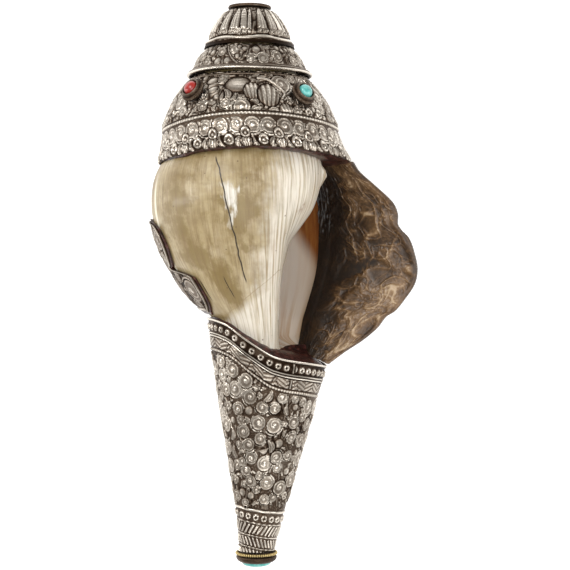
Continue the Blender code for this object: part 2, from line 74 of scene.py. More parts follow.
def polar(centre, angle, radius, y):
    """Places round the axis. The arrays may have any shape, and a last axis of x, y, z is added."""
    turn = np.radians(angle)
    across, up = centre + radius * np.cos(turn), radius * np.sin(turn)
    return np.stack(np.broadcast_arrays(across, y, up), -1) + AXIS


# %% [markdown]
# ## The camera
#
# The photograph looks straight down at the trumpet from well above, with a long lens: its
# sides show no taper, and the cap's level rings bow only a little.

# %% The camera over the trumpet
CAMERA_HEIGHT = 0.75
VIEW_MIDDLE = (0.0141, -0.0003)
VIEW_HALF_WIDTH = 0.1489
SENSOR = 36.0
lens = bpy.data.cameras.new("camera")
lens.sensor_width = SENSOR
lens.lens = SENSOR / 2 * CAMERA_HEIGHT / VIEW_HALF_WIDTH
camera = bpy.data.objects.new("camera", lens)
camera.location = AXIS + (*VIEW_MIDDLE, CAMERA_HEIGHT)
bpy.context.scene.collection.objects.link(camera)
bpy.context.scene.camera = camera
print("lens", round(lens.lens, 1), "mm")

# %% [markdown]
# ## Smooth curves
#
# Every outline on the trumpet is drawn through a few measured knots. The curve between them
# is a Hermite one, whose slope at a knot follows its two neighbours.


# %% Curves, steps and blends
def smooth(places, values, x):
    """The curve through the knots, at x. A knot's value may be an array shaped like x."""
    places, values = np.array(places, float), np.array(values, float)
    x = np.clip(x, places[0], places[-1])
    before = np.maximum(np.arange(len(places)) - 1, 0)
    after = np.minimum(np.arange(len(places)) + 1, len(places) - 1)
    run = (places[after] - places[before]).reshape((-1,) + (1,) * (values.ndim - 1))
    slopes = (values[after] - values[before]) / run
    k = np.clip(np.searchsorted(places, x, side="right") - 1, 0, len(places) - 2)
    span = places[k + 1] - places[k]
    t = (x - places[k]) / span

    def at(table, row):
        return table[row] if table.ndim == 1 else np.take_along_axis(table, row[None], 0)[0]

    return (
        at(values, k) * (2 * t**3 - 3 * t**2 + 1) + at(slopes, k) * span * (t**3 - 2 * t**2 + t)
        + at(values, k + 1) * (3 * t**2 - 2 * t**3) + at(slopes, k + 1) * span * (t**3 - t**2)
    )


def through(knots, x):
    """The curve through (place, value) knots, at x."""
    return smooth([knot[0] for knot in knots], [knot[1] for knot in knots], x)


def ease(low, high, x):
    """0 at low, 1 at high, held beyond them, with a smooth step between."""
    t = np.clip((x - low) / (high - low), 0.0, 1.0)
    return t * t * (3 - 2 * t)


def mix(a, b, share):
    """The value a share of the way from a to b."""
    return a + (b - a) * share


# %% [markdown]
# ## Uneven surfaces
#
# Old handwork is never even. A lattice of random values, blended smoothly, gives soft dents
# and crumples. The seed is fixed, so every run gives the same ones.


# %% Soft random dents
LATTICE = 256


def dents(x, y, size, seed, wrap=None):
    """Smooth random values from -1 to 1 with bumps of about size. It repeats after wrap in x."""
    columns = max(int(round(wrap / size)), 1) if wrap else LATTICE
    values = np.random.default_rng(seed).uniform(-1, 1, (LATTICE, columns))
    u = x / (wrap / columns if wrap else size)
    v = y / size
    i, j = np.floor(u).astype(int), np.floor(v).astype(int)
    fu, fv = ease(0, 1, u - i), ease(0, 1, v - j)

    def corner(a, b):
        return values[(j + b) % LATTICE, (i + a) % columns]

    return mix(mix(corner(0, 0), corner(1, 0), fu), mix(corner(0, 1), corner(1, 1), fu), fv)


# %% [markdown]
# ## From a grid of places to a piece
#
# bmesh makes the grid, and each of its points is then moved to its place. Points that fall
# together, such as the seam of a tube, are merged, and the normals are turned outwards.
# The height of the relief is kept on the points, because the tarnish depends on it. The wing's
# skin keeps its painted light and shade there instead.


# %% A piece from a grid
MERGE = 1e-6
SHARP = math.radians(55)
TINY = 1e-12


def flat(values):
    """An array as the single row of short floats that Blender takes."""
    return np.asarray(values, np.float32).reshape(-1)


def grid_piece(name, places, relief=None, uv=None):
    """An object of a grid of places, with its relief and its UV map kept on the points."""
    rows, columns = places.shape[:2]
    bm = bmesh.new()
    bmesh.ops.create_grid(bm, x_segments=columns - 1, y_segments=rows - 1, size=1.0)
    mesh = bpy.data.meshes.new(name)
    bm.to_mesh(mesh)
    mesh.vertices.foreach_set("co", flat(places))
    heights = np.ones((rows, columns)) if relief is None else relief
    mesh.attributes.new("relief", "FLOAT", "POINT").data.foreach_set("value", flat(heights))
    if uv is not None:
        corners = np.empty(len(mesh.loops), int)
        mesh.loops.foreach_get("vertex_index", corners)
        mesh.uv_layers.new(name="surface").data.foreach_set("uv", flat(uv.reshape(-1, 2)[corners]))
    bm.clear()
    bm.from_mesh(mesh)
    bmesh.ops.remove_doubles(bm, verts=bm.verts, dist=MERGE)
    return finished(name, mesh, bm)


def finished(name, mesh, bm):
    """The object of a bmesh, with its faces turned out, riding on the one body."""
    bmesh.ops.recalc_face_normals(bm, faces=bm.faces)
    if bm.calc_volume(signed=True) < 0:
        bmesh.ops.reverse_faces(bm, faces=bm.faces)
    bm.to_mesh(mesh)
    bm.free()
    mesh.shade_smooth()
    mesh.set_sharp_from_angle(angle=SHARP)
    piece = bpy.data.objects.new(name, mesh)
    bpy.context.scene.collection.objects.link(piece)
    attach(piece, "root")
    print(name, len(mesh.polygons), "faces")
    return piece


def unit(vectors):
    """The vectors along the last axis, each at a length of one."""
    return vectors / np.maximum(np.linalg.norm(vectors, axis=-1, keepdims=True), TINY)


def outward(places):
    """Unit normals of a grid of places whose rows run down and whose columns run to the right."""
    return unit(np.cross(np.gradient(places, axis=1), np.gradient(places, axis=0)))


def raised(places, height):
    """The grid with each place moved out by a height, and the two sides of its seam kept together."""
    moved = places + outward(places) * height[..., None]
    moved[:, -1] = moved[:, 0]
    return moved


# %% [markdown]
# ## The silversmith's motifs
#
# Repousse ornament is a small set of forms used over and over: spiral bosses, beads, ringed
# dots, leaves with cut veins, and strokes that join them. Each is a height over a small round
# patch, from -1 in the chased groove round it to 1 on top. Stamping a motif replaces what was
# under it, as a later hammer blow does.


# %% One motif at a time
GROOVE = -1.0
GROOVE_REACH = 1.12
FAR = 9.0


def rimmed(r, height):
    """A height inside the motif's rim, the groove just outside it, and nothing beyond."""
    return np.where(r < 1, height, np.where(r < GROOVE_REACH, GROOVE, np.nan))


def scroll(x, y, hand):
    """A low dome with a spiral wire on it that winds in to a bead, and a tail that sweeps off its rim."""
    r = np.hypot(x, y)
    swept = (np.arctan2(y, x) * hand / math.tau) % 1.0
    coil = (r * 1.5 - swept + 0.5) % 1.0 - 0.5
    wire = np.maximum(np.exp(-((coil / 0.15) ** 2)), np.exp(-(((r - 0.88) / 0.10) ** 2)))
    dome = -0.75 + 0.45 * (1 - r**2) + 1.2 * wire
    bead = 0.95 * np.sqrt(np.clip(1 - (r / 0.24) ** 2, 0, 1))
    tail = 0.65 * np.exp(-(((r - 1.04 - 0.42 * swept) / 0.09) ** 2)) * (swept < 0.5)
    outside = np.where(tail > 0.25, tail, np.where(r < GROOVE_REACH, GROOVE, np.nan))
    return np.where(r < 1, np.maximum(dome, bead), outside)


def boss(x, y, hand):
    """A plain round bead."""
    r = np.hypot(x, y)
    return rimmed(r, -0.9 + 1.4 * np.sqrt(np.clip(1 - r**2, 0, 1)))


def ringed_dot(x, y, hand):
    """A raised boss with a round hole punched in its middle."""
    r = np.hypot(x, y)
    height = -0.75 + 1.75 * np.exp(-(((r - 0.52) / 0.27) ** 2)) - 1.6 * np.exp(-((r / 0.22) ** 2))
    return np.where(r < 1, height, np.nan)


def teardrop(x, y, hand):
    """A ring drawn out to a point at its top, round a bead."""
    r = np.hypot(x, y * np.where(y > 0, 0.72, 1.15))
    ring = np.exp(-(((r - 0.66) / 0.2) ** 2))
    bead = 1.1 * np.exp(-((r / 0.26) ** 2))
    return np.where(r < 0.9, -0.8 + 1.7 * np.maximum(ring, bead), np.where(r < 1, GROOVE, np.nan))


def leaf(x, y, hand):
    """A pointed leaf, bent to one side, with cut veins along it."""
    bent = y - hand * 0.42 * (x**2 - 0.3)
    width = 0.52 * np.sqrt(np.clip(1 - x**2, 0, 1)) * (1 - 0.35 * x)
    across = np.where(width > 0.01, bent / np.maximum(width, 0.01), FAR)
    veins = 0.42 * np.cos(across * 3.0 * math.pi)
    height = -0.70 + 1.0 * np.sqrt(np.clip(1 - across**2, 0, 1)) + veins
    edge = np.abs(bent) < width + 0.13
    return np.where(np.abs(across) < 1, height, np.where(edge & (np.abs(x) < 1.06), GROOVE, np.nan))


# %% [markdown]
# ## A sheet to stamp
#
# The sheet knows where each of its points is: its angle, its height and its distance from the
# axis. A motif's place is found as seen from above, so the ones at the front stand where the
# photograph shows them, and a patch bends with the sheet.


# %% Stamping a motif
PATCH = 1.3


def stamp(heights, motif, across, up, size, turn, hand):
    """Stamps a motif into heights. Across and up are how far each point is from its middle."""
    near = (np.abs(up) < size * PATCH) & (np.abs(across) < size * PATCH)
    x, y = across[near] / size, up[near] / size
    c, s = math.cos(turn), math.sin(turn)
    stamped = motif(x * c + y * s, y * c - x * s, hand)
    heights[near] = np.where(np.isnan(stamped), heights[near], stamped)


def tone_of(heights):
    """0 in the tarnished hollows and 1 on the polished tops."""
    return np.clip((heights + 1.0) / 1.7, 0.0, 1.0)


# %% The sheet
CURL_SIZE = 0.0031


class Sheet:
    """The relief over a grid of places round the axis, as heights from about -1 to 1."""

    def __init__(self, places, centre, depth, ground=-0.3, curls=0.55):
        self.angle = np.degrees(np.arctan2(places[..., 2] - AXIS[2], places[..., 0] - AXIS[0] - centre))
        self.along = places[..., 1] - AXIS[1]
        self.radius = np.hypot(places[..., 0] - AXIS[0] - centre, places[..., 2] - AXIS[2])
        self.centre = np.broadcast_to(centre, self.angle.shape)
        self.depth = depth
        girth = math.tau * self.radius.mean()
        curl = dents(self.angle / 360, self.along / girth, CURL_SIZE / girth, 3, wrap=1.0)
        self.height = ground + curls * np.cos(math.tau * 1.5 * curl)

    def offsets(self, angle, along):
        """How far each point is to the right of a place and above it, in metres round the sheet."""
        round_by = (self.angle - angle + 180) % 360 - 180
        return -np.radians(round_by) * self.radius, self.along - along

    def stamp(self, motif, angle, along, size, turn=0.0, hand=1):
        """Stamps a motif at a place, turned by degrees."""
        stamp(self.height, motif, *self.offsets(angle, along), size, math.radians(turn), hand)

    def line(self, knots, width, top=0.6):
        """A raised wire through (angle, along) knots."""
        points = np.array(knots, float)
        shares = np.linspace(0, len(points) - 1, 8 * (len(points) - 1) + 1)
        angles, heights = (smooth(range(len(points)), points[:, k], shares) for k in (0, 1))
        nearest = np.full(self.angle.shape, FAR)
        reach = width * 3
        near = (self.along > heights.min() - reach) & (self.along < heights.max() + reach)
        for a0, h0, a1, h1 in zip(angles, heights, angles[1:], heights[1:]):
            x0, y0 = (part[near] for part in self.offsets(a0, h0))
            x1, y1 = (part[near] for part in self.offsets(a1, h1))
            dx, dy = x0 - x1, y0 - y1
            t = np.clip((x0 * dx + y0 * dy) / np.maximum(dx * dx + dy * dy, TINY), 0, 1)
            nearest[near] = np.minimum(nearest[near], np.hypot(x0 - t * dx, y0 - t * dy))
        self.lay(nearest / width, top)

    def lay(self, away, top=0.6):
        """A wire whose middle is where away is 0 and whose edges are at 1, with a groove on both sides."""
        away = np.abs(away)
        wire = mix(GROOVE, top, np.sqrt(np.clip(1 - away**2, 0, 1)))
        grooved = np.where(away < 1.5, np.minimum(self.height, GROOVE), self.height)
        self.height = np.where(away < 1, wire, grooved)

    def seen(self, x, y):
        """The angle and height of the sheet's place that the camera sees at x and y over the axis."""
        right = self.angle.shape[1] // 4
        standing = 0.0
        for _ in range(4):
            nearer = 1 - standing / CAMERA_HEIGHT
            true_x, true_y = x * nearer, y * nearer
            row = np.abs(self.along[:, right] - true_y).argmin()
            column = np.abs(self.angle[row] - 90).argmin()
            radius, centre = self.radius[row, column], self.centre[row, column]
            offset = np.clip((true_x - centre) / radius, -0.98, 0.98)
            standing = radius * math.sqrt(1 - offset**2)
        return math.degrees(math.acos(offset)), true_y

    def metres(self):
        """The stamped heights as a move along the normal, with their tops at the sheet's own face."""
        return (np.clip(self.height, -1.2, 1.2) - 1.0) * self.depth / 2

    def tone(self):
        return tone_of(self.height)


# %% [markdown]
# ## Filling the ground
#
# A smith fills a field with the largest scrolls first, then smaller ones between them, then
# beads in the last gaps. Throwing circles at random in falling sizes, and keeping each one
# that touches none before it, gives the same crowded look with no pattern that repeats.


# %% Scrolls wherever there is room
CROWDING = 0.94


def crowd(sheet, taken, allowed, sizes, seed, tries=420):
    """Stamps motifs where allowed(angle, along, size) holds and nothing is taken. Returns how many."""
    rng = np.random.default_rng(seed)
    low, high = sheet.along.min(), sheet.along.max()
    middle, radii = sheet.along[:, 0], sheet.radius[:, 0]
    order = np.argsort(middle)
    placed = list(taken)
    for size, motifs in sizes:
        for _ in range(tries):
            angle, along = rng.uniform(0, 360), rng.uniform(low, high)
            turn, hand, pick = rng.uniform(0, 360), rng.choice((-1, 1)), rng.integers(len(motifs))
            if not allowed(angle, along, size):
                continue
            radius = np.interp(along, middle[order], radii[order])
            others = np.array(placed).reshape(-1, 3)
            round_by = np.radians((others[:, 0] - angle + 180) % 360 - 180) * radius
            if (np.hypot(round_by, others[:, 1] - along) < (others[:, 2] + size) * CROWDING).any():
                continue
            placed.append((angle, along, size))
            sheet.stamp(motifs[pick], angle, along, size, turn, hand)
    return len(placed) - len(taken)


# %% [markdown]
# ## Colours and nodes
#
# Colours are picked as the hex values that a screen shows, and Blender wants them linear.
# A material is a small graph. One function adds any node: it takes the node's inputs, each a
# constant or the output of a node before it, and its settings, and gives back one output.


# %% Colours and nodes
def linear(hex_colour):
    """An sRGB hex colour as Blender's linear RGBA."""
    channels = [int(hex_colour[k : k + 2], 16) / 255 for k in (0, 2, 4)]
    return (*(c / 12.92 if c <= 0.04045 else ((c + 0.055) / 1.055) ** 2.4 for c in channels), 1.0)


def add_node(tree, kind, inputs=(), output=0, stops=(), **settings):
    """Adds a node and returns one of its outputs. Inputs go by order or name, stops are a ramp's."""
    node = tree.nodes.new("ShaderNode" + kind)
    for key, value in settings.items():
        setattr(node, key, value)
    for key, value in inputs.items() if isinstance(inputs, dict) else enumerate(inputs):
        if isinstance(value, bpy.types.NodeSocket):
            tree.links.new(value, node.inputs[key])
        else:
            node.inputs[key].default_value = value
    for k, (place, colour) in enumerate(stops):
        elements = node.color_ramp.elements
        element = elements[k] if k < len(elements) else elements.new(place)
        element.position, element.color = place, linear(colour)
    return node.outputs[output]


def new_material(name, values):
    """A material with its Principled shader's constants set, and its tree."""
    material = bpy.data.materials.new(name)
    material.use_nodes = True
    shader = material.node_tree.nodes["Principled BSDF"]
    for socket, value in values.items():
        shader.inputs[socket].default_value = value
    return material, material.node_tree


def into_shader(material, outputs):
    """Links outputs to the sockets of the material's shader."""
    shader = material.node_tree.nodes["Principled BSDF"]
    for socket, output in outputs.items():
        material.node_tree.links.new(output, shader.inputs[socket])
    print(material.name, len(material.node_tree.nodes), "nodes")


# %% [markdown]
# ## Repousse silver
#
# Sterling-like silver sheet, hammered and chased by hand, then handled for decades. The tops
# of the relief are rubbed bright and reflect softly, while sulphide tarnish stays brown-black
# in the hollows. The tone therefore follows the relief that is kept on the points, broken up
# by fine noise so that the tarnish has ragged edges.


# %% The silver
def silver_material(name, bright, tarnish, grain_mm):
    """Silver whose tone runs from tarnish to bright, with specks of a size in millimetres."""
    material, tree = new_material(name, {"Metallic": 1.0, "Roughness": 0.3})
    place = add_node(tree, "TexCoord", output="Object")
    relief = add_node(tree, "Attribute", output="Fac", attribute_name="relief")
    grain = {"Vector": place, "Scale": 1 / (grain_mm * MM), "Detail": 4.0, "Roughness": 0.65}
    specks = add_node(tree, "TexNoise", grain)
    patches = add_node(tree, "TexNoise", {"Vector": place, "Scale": 1 / (14 * MM), "Detail": 2.0})
    ragged = add_node(tree, "Math", (specks, 0.55, -0.33), operation="MULTIPLY_ADD")
    worn = add_node(tree, "Math", (patches, 0.5, -0.25), operation="MULTIPLY_ADD")
    tone = add_node(tree, "Math", (relief, ragged), operation="ADD")
    tone = add_node(tree, "Math", (tone, worn), operation="ADD", use_clamp=True)
    stops = ((0.0, tarnish), (0.28, "54463A"), (0.58, "8C8276"), (0.92, bright))
    into_shader(material, {
        "Base Color": add_node(tree, "ValToRGB", (tone,), stops=stops),
        "Roughness": add_node(tree, "MapRange", (tone, 0.0, 1.0, 0.62, 0.24)),
        "Normal": add_node(tree, "Bump", {"Strength": 0.35, "Distance": 0.12 * MM, "Height": specks}),
    })
    return material


repousse_silver = silver_material("repousse_silver", "D2CABE", "261B13", 0.9)
polished_silver = silver_material("polished_silver", "C4BCB0", "3A2E24", 2.2)

# %% [markdown]
# ## The shell
#
# The shell's outside is drawn through measured sections: a centre and six radii at each
# height. Between them runs a spiral, from the pillar at the right, over the front, round the
# left and the back, to the thin outer lip. The mouth turns in behind the pillar.

# %% The shell's measured form
SHELL_SECTIONS = np.array((
    (-0.0780, 0.0044, 0.0095, 0.0098, 0.0100, 0.0100, 0.0100, 0.0100),
    (-0.0600, 0.0050, 0.0110, 0.0128, 0.0145, 0.0155, 0.0150, 0.0140),
    (-0.0440, 0.0054, 0.0080, 0.0110, 0.0180, 0.0205, 0.0200, 0.0200),
    (-0.0340, 0.0045, 0.0066, 0.0092, 0.0210, 0.0230, 0.0228, 0.0262),
    (-0.0260, 0.0039, 0.0070, 0.0094, 0.0235, 0.0247, 0.0262, 0.0292),
    (-0.0180, 0.0033, 0.0076, 0.0101, 0.0265, 0.0266, 0.0303, 0.0320),
    (-0.0140, 0.0030, 0.0080, 0.0106, 0.0285, 0.0305, 0.0333, 0.0341),
    (-0.0100, 0.0026, 0.0085, 0.0112, 0.0305, 0.0341, 0.0362, 0.0362),
    (-0.0060, 0.0023, 0.0090, 0.0118, 0.0325, 0.0376, 0.0392, 0.0382),
    (-0.0020, 0.0020, 0.0096, 0.0126, 0.0345, 0.0405, 0.0418, 0.0402),
    (0.0060, 0.0017, 0.0108, 0.0142, 0.0380, 0.0450, 0.0455, 0.0432),
    (0.0140, 0.0014, 0.0130, 0.0172, 0.0410, 0.0494, 0.0474, 0.0452),
    (0.0220, 0.0010, 0.0156, 0.0208, 0.0435, 0.0523, 0.0478, 0.0465),
    (0.0300, 0.0007, 0.0210, 0.0280, 0.0460, 0.0544, 0.0477, 0.0475),
    (0.0380, 0.0004, 0.0265, 0.0345, 0.0475, 0.0556, 0.0474, 0.0478),
    (0.0460, 0.0000, 0.0296, 0.0385, 0.0485, 0.0553, 0.0474, 0.0475),
    (0.0540, -0.0003, 0.0312, 0.0400, 0.0485, 0.0538, 0.0470, 0.0460),
    (0.0620, -0.0010, 0.0320, 0.0400, 0.0465, 0.0497, 0.0460, 0.0430),
    (0.0680, -0.0017, 0.0325, 0.0390, 0.0440, 0.0440, 0.0440, 0.0400),
    (0.0880, -0.0042, 0.0310, 0.0360, 0.0395, 0.0400, 0.0390, 0.0340),
    (0.1080, -0.0044, 0.0255, 0.0255, 0.0255, 0.0255, 0.0255, 0.0255),
    (0.1260, -0.0044, 0.0115, 0.0115, 0.0115, 0.0115, 0.0115, 0.0115),
))
LIP_ANGLE = 330
WALL, LIP_WALL = 0.0032, 0.0009
MOUTH_BOTTOM, MOUTH_TOP = (-0.037, -0.027), (0.054, 0.064)
CAVITY_TURN = 140
PILLAR = ((-CAVITY_TURN, 0.78), (-60, 0.86))


def shell_centre(y):
    return smooth(SHELL_SECTIONS[:, 0], SHELL_SECTIONS[:, 1], y)


def shell_radius(angle, y):
    """The spiral of the outside. Angles under 0 follow the pillar inside the mouth."""
    angle, y = np.broadcast_arrays(np.asarray(angle, float), np.asarray(y, float))
    right, inner_lip, front, left, back, lip = (
        smooth(SHELL_SECTIONS[:, 0], SHELL_SECTIONS[:, k], y) for k in range(2, 8)
    )
    inner = [right * share for _, share in PILLAR]
    return smooth(
        [place for place, _ in PILLAR] + [0, 45, 90, 180, 270, LIP_ANGLE],
        np.array(inner + [right, inner_lip, front, left, back, lip]), angle,
    )


def shell_point(angle, y, inward=0.0):
    return polar(shell_centre(y), angle, shell_radius(angle, y) - inward, y)


def wall_thickness(angle):
    return mix(WALL, LIP_WALL, ease(300, LIP_ANGLE, angle))


def mouth_openness(y):
    """1 where the mouth is open to its full depth, 0 where the section is filled in."""
    return ease(*MOUTH_BOTTOM, y) * (1 - ease(*MOUTH_TOP, y))


# %% The shell's skin
SHELL_ROWS, OUTSIDE, INSIDE = 250, 200, 110
CHIP_ANGLE, CHIP_Y = 14, 0.0567
HOLE_SHARE, HOLE_DEPTH = 0.435, 0.02


def lip_chip(angle, y):
    """How far the rough bump at the top of the lip stands out."""
    rough = 1 + 0.3 * dents(angle, y * 5000, 7.0, 9)
    return 0.0034 * rough * np.exp(-(((angle - CHIP_ANGLE) / 9) ** 2) - ((y - CHIP_Y) / 0.0048) ** 2)


def shell_rings(y):
    """Rows of places round each section: the outside from lip to pillar, then the mouth and back."""
    y = y[:, None]
    outside = np.linspace(LIP_ANGLE, 0, OUTSIDE)[None]
    ripple = 0.00006 * np.sin(np.radians(outside) * 90 + 9 * y / 0.02) * ease(0, 20, outside)
    skin = shell_point(outside, y, -ripple - lip_chip(outside, y))
    pillar = shell_point(np.linspace(0, -CAVITY_TURN, INSIDE // 2)[None, 1:], y)
    wall = np.linspace(360 - CAVITY_TURN, LIP_ANGLE, INSIDE // 2)[None]
    far = shell_point(wall, y, wall_thickness(wall))
    bridge = np.stack([mix(pillar[:, -1], far[:, 0], share) for share in (0.25, 0.5, 0.75)], 1)
    inside = np.concatenate([pillar, bridge, far], 1)
    share = (np.arange(inside.shape[1]) + 1) / inside.shape[1]
    across = mix(skin[:, -1][:, None], far[:, -1][:, None], share[None, :, None])
    mouth = mix(across, inside, mouth_openness(y)[..., None])
    angles = np.concatenate([outside[0], outside[0, -1] - CAVITY_TURN * np.linspace(0, 1, inside.shape[1])])
    return np.concatenate([skin, mouth, skin[:, :1]], 1), np.append(angles, LIP_ANGLE)


rows = np.linspace(SHELL_SECTIONS[0, 0], SHELL_SECTIONS[-1, 0], SHELL_ROWS)
rings, ring_angles = shell_rings(rows)
foot = np.broadcast_to(rings[0].mean(0), rings[0].shape)
apex = rings[-1].mean(0)
hole_rim = mix(apex, rings[-1], HOLE_SHARE)
sunk = np.array((0, HOLE_DEPTH, 0))
hole = [hole_rim, hole_rim - sunk, np.broadcast_to(apex - sunk, hole_rim.shape)]
shell_grid = np.concatenate([foot[None], rings, np.stack(hole)])
heights = np.concatenate([rows[:1], rows, rows[-1] - HOLE_DEPTH * np.array((0, 1, 1))])
shell_uv = np.stack(np.broadcast_arrays(ring_angles[None] / 360, heights[:, None]), -1)
conch_shell = grid_piece("conch_shell_skin", shell_grid, uv=shell_uv)
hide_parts("conch_shell")

# %% [markdown]
# ## What the shell is made of
#
# Chank shell is white porcelain-like aragonite under a thin olive-tan skin, which is worn here
# to cream and ivory. Growth lines run from spire to canal. The outside has a soft gloss, and the
# mouth is smooth and greyish, with painted shade making it greyer towards the pillar. An orange
# glow along its thin right wall is painted light, as if coming through the wall.

# %% Worn chank shell
worn_chank, tree = new_material("worn_chank_shell", {
    "Roughness": 0.48, "IOR": 1.5, "Coat Weight": 0.12, "Coat Roughness": 0.12,
    "Subsurface Weight": 0.08, "Subsurface Scale": 0.003, "Subsurface Radius": (1.0, 0.6, 0.35),
})
surface = add_node(tree, "TexCoord", output="UV")
around = add_node(tree, "SeparateXYZ", (surface,), "X")


def shell_noise(cycles_round, cycles_along, detail, offset=0.0):
    """Noise over the shell's own angle and height, in cycles per turn and per metre."""
    scale, shift = (cycles_round, cycles_along, 1.0), (offset, offset, 0.0)
    mapped = add_node(tree, "Mapping", {"Vector": surface, "Scale": scale, "Location": shift})
    return add_node(tree, "TexNoise", {"Vector": mapped, "Scale": 1.0, "Detail": detail, "Roughness": 0.6})


def mask(*parts):
    """A product of masks. A part is one, or a source, its start and end, and the values there."""
    product = None
    for part in parts:
        if isinstance(part, tuple):
            part = add_node(tree, "MapRange", part, interpolation_type="SMOOTHSTEP")
        product = part if product is None else add_node(tree, "Math", (product, part), operation="MULTIPLY")
    return product


def painted(colour, layers):
    """A colour under layers of others, each a hex value or a colour, with its mask."""
    for over, share in layers:
        over = linear(over) if isinstance(over, str) else over
        colour = add_node(tree, "Mix", {0: share, 6: colour, 7: over}, 2, data_type="RGBA")
    return colour


broad = add_node(tree, "ValToRGB", (shell_noise(20, 50, 8.0),), stops=(
    (0.28, "84704A"), (0.42, "998760"), (0.52, "AA9974"), (0.64, "B9AA8B"), (0.78, "CBC1AC"),
))
skin_layers = [
    ("786434", mask((shell_noise(17, 45, 8.0, 9.0), 0.46, 0.58, 0.0, 0.8))),
    ("765F3C", mask((shell_noise(120, 14, 6.0, 3.0), 0.36, 0.56, 0.38, 0.0))),
    ("765F3C", mask((shell_noise(330, 60, 6.0, 3.0), 0.36, 0.56, 0.46, 0.0))),
    ("6E5C3C", mask((shell_noise(30, 420, 5.0, 7.0), 0.42, 0.62, 0.10, 0.0))),
]

# %% Lines and places on the shell
in_place = add_node(tree, "TexCoord", output="Object")
from_axis = add_node(tree, "Mapping", {"Vector": in_place, "Location": tuple(-AXIS)})
at_x, at_y, at_z = (add_node(tree, "SeparateXYZ", (from_axis,), axis) for axis in "XYZ")
wobble = add_node(tree, "TexNoise", {"Vector": from_axis, "Scale": 1 / (9 * MM), "Detail": 4.0})
in_front = mask((at_z, 0.0, 0.006))


def slanted(x0, y0, lean, waver):
    """How far right of a leaning line a place is. It passes x0, y0 and moves lean in X for each Y."""
    run = add_node(tree, "Math", (at_y, -lean, lean * y0 - x0), operation="MULTIPLY_ADD")
    wavy = add_node(tree, "Math", (wobble, waver, -waver / 2), operation="MULTIPLY_ADD")
    straight = add_node(tree, "Math", (at_x, run), operation="ADD")
    return add_node(tree, "Math", (straight, wavy), operation="ADD")


def line_mask(distance, half_width):
    away = add_node(tree, "Math", (distance,), operation="ABSOLUTE")
    return mask((away, half_width * 0.4, half_width, 1.0, 0.0))


def hairline(x0, y0, lean, waver, half_width, low, high):
    """A crack along a leaning line, between two heights."""
    line = line_mask(slanted(x0, y0, lean, waver), half_width)
    return mask(line, (at_y, low, low + 0.003), (at_y, high - 0.003, high, 1.0, 0.0))


# %% The white third, with its brown streaks
white_edge = slanted(-0.0188, -0.0185, 1.18, 0.006)
below_edge = mask((white_edge, -0.001, 0.008))
right_third = mask((slanted(0.0100, 0.0600, 0.15, 0.018), -0.008, 0.008))
white_zone = add_node(tree, "Math", (below_edge, right_third), operation="MAXIMUM")
streaked = mask((shell_noise(180, 26, 6.0, 5.0), 0.36, 0.56, 0.3, 0.95))
brown_streaks = mask((shell_noise(150, 34, 6.0, 13.0), 0.50, 0.64, 0.0, 0.55), right_third, in_front)
skin_layers += [("DDD6C8", mask(white_zone, in_front, streaked)), ("9A7E56", brown_streaks)]

# %% The painted highlights and the growth line
# A whitish patch beside the crack on the upper front is a painted highlight, as of a soft lamp's reflection,
# with ragged, streaked edges.
patch_half = add_node(tree, "Math", (at_y, 0.27, -0.0070), operation="MULTIPLY_ADD")
beside = add_node(tree, "Math", (slanted(-0.0135, 0.0496, -0.105, 0.007),), operation="ABSOLUTE")
patch_edge_noise = add_node(tree, "Math", (shell_noise(90, 90, 3.0, 21.0), 0.013, -0.0068), operation="MULTIPLY_ADD")
to_side = add_node(tree, "Math", (patch_half, beside), operation="SUBTRACT")
to_side = add_node(tree, "Math", (to_side, patch_edge_noise), operation="ADD")
to_top = add_node(tree, "Math", (at_y, patch_edge_noise), operation="ADD")
painted_highlight_patch = mask((to_side, -0.0004, 0.0026), (to_top, 0.0470, 0.0505, 1.0, 0.0), streaked, in_front)
# A pale line down the left side, just inside the outline, is a painted highlight, as of the left strip lamp's
# reflection.
off_side = add_node(tree, "Math", (around, -0.448), operation="ADD")
painted_highlight_line = mask(
    line_mask(off_side, 0.0065), (at_y, -0.005, 0.010, 0.0, 0.85), (at_y, 0.045, 0.060, 1.0, 0.0)
)
growth_line = mask(line_mask(white_edge, 0.0005), in_front, (wobble, 0.35, 0.6, 0.0, 0.6))
skin_layers += [("DAD6CC", painted_highlight_patch), ("E6DDC6", painted_highlight_line), ("8A7450", growth_line)]

# %% The cracks, the stains and the specks
crack = hairline(-0.0196, 0.0624, -0.232, 0.0022, 0.00050, 0.0, 0.0640)
for x0, y0, lean in ((-0.0155, 0.0018, -0.54), (-0.0277, 0.0003, -0.58)):
    short = hairline(x0, y0, lean, 0.0015, 0.00035, y0 - 0.0095, y0 + 0.0030)
    crack = add_node(tree, "Math", (crack, short), operation="MAXIMUM")
crack = mask(crack, in_front)
from_stain = add_node(
    tree, "VectorMath", (from_axis, (0.0225, 0.0410, 0.0300)), "Value", operation="DISTANCE"
)
stain = mask((from_stain, 0.0012, 0.0070, 0.8, 0.0), (wobble, 0.40, 0.55))
foot_slope = add_node(tree, "Math", (at_x, 0.62, 0.0316), operation="MULTIPLY_ADD")
over_foot = add_node(tree, "Math", (foot_slope, at_y), operation="ADD")
smear = mask((over_foot, 0.0005, 0.0035, 1.0, 0.0), (wobble, 0.40, 0.60), in_front)
cells = add_node(tree, "TexVoronoi", {"Vector": from_axis, "Scale": 1 / (4.5 * MM)})
specks = mask((cells, 0.05, 0.13, 0.8, 0.0), (wobble, 0.52, 0.60))
skin_layers += [("2A1E0A", crack), ("7A5230", stain), ("5C3024", smear), ("5A4028", specks)]
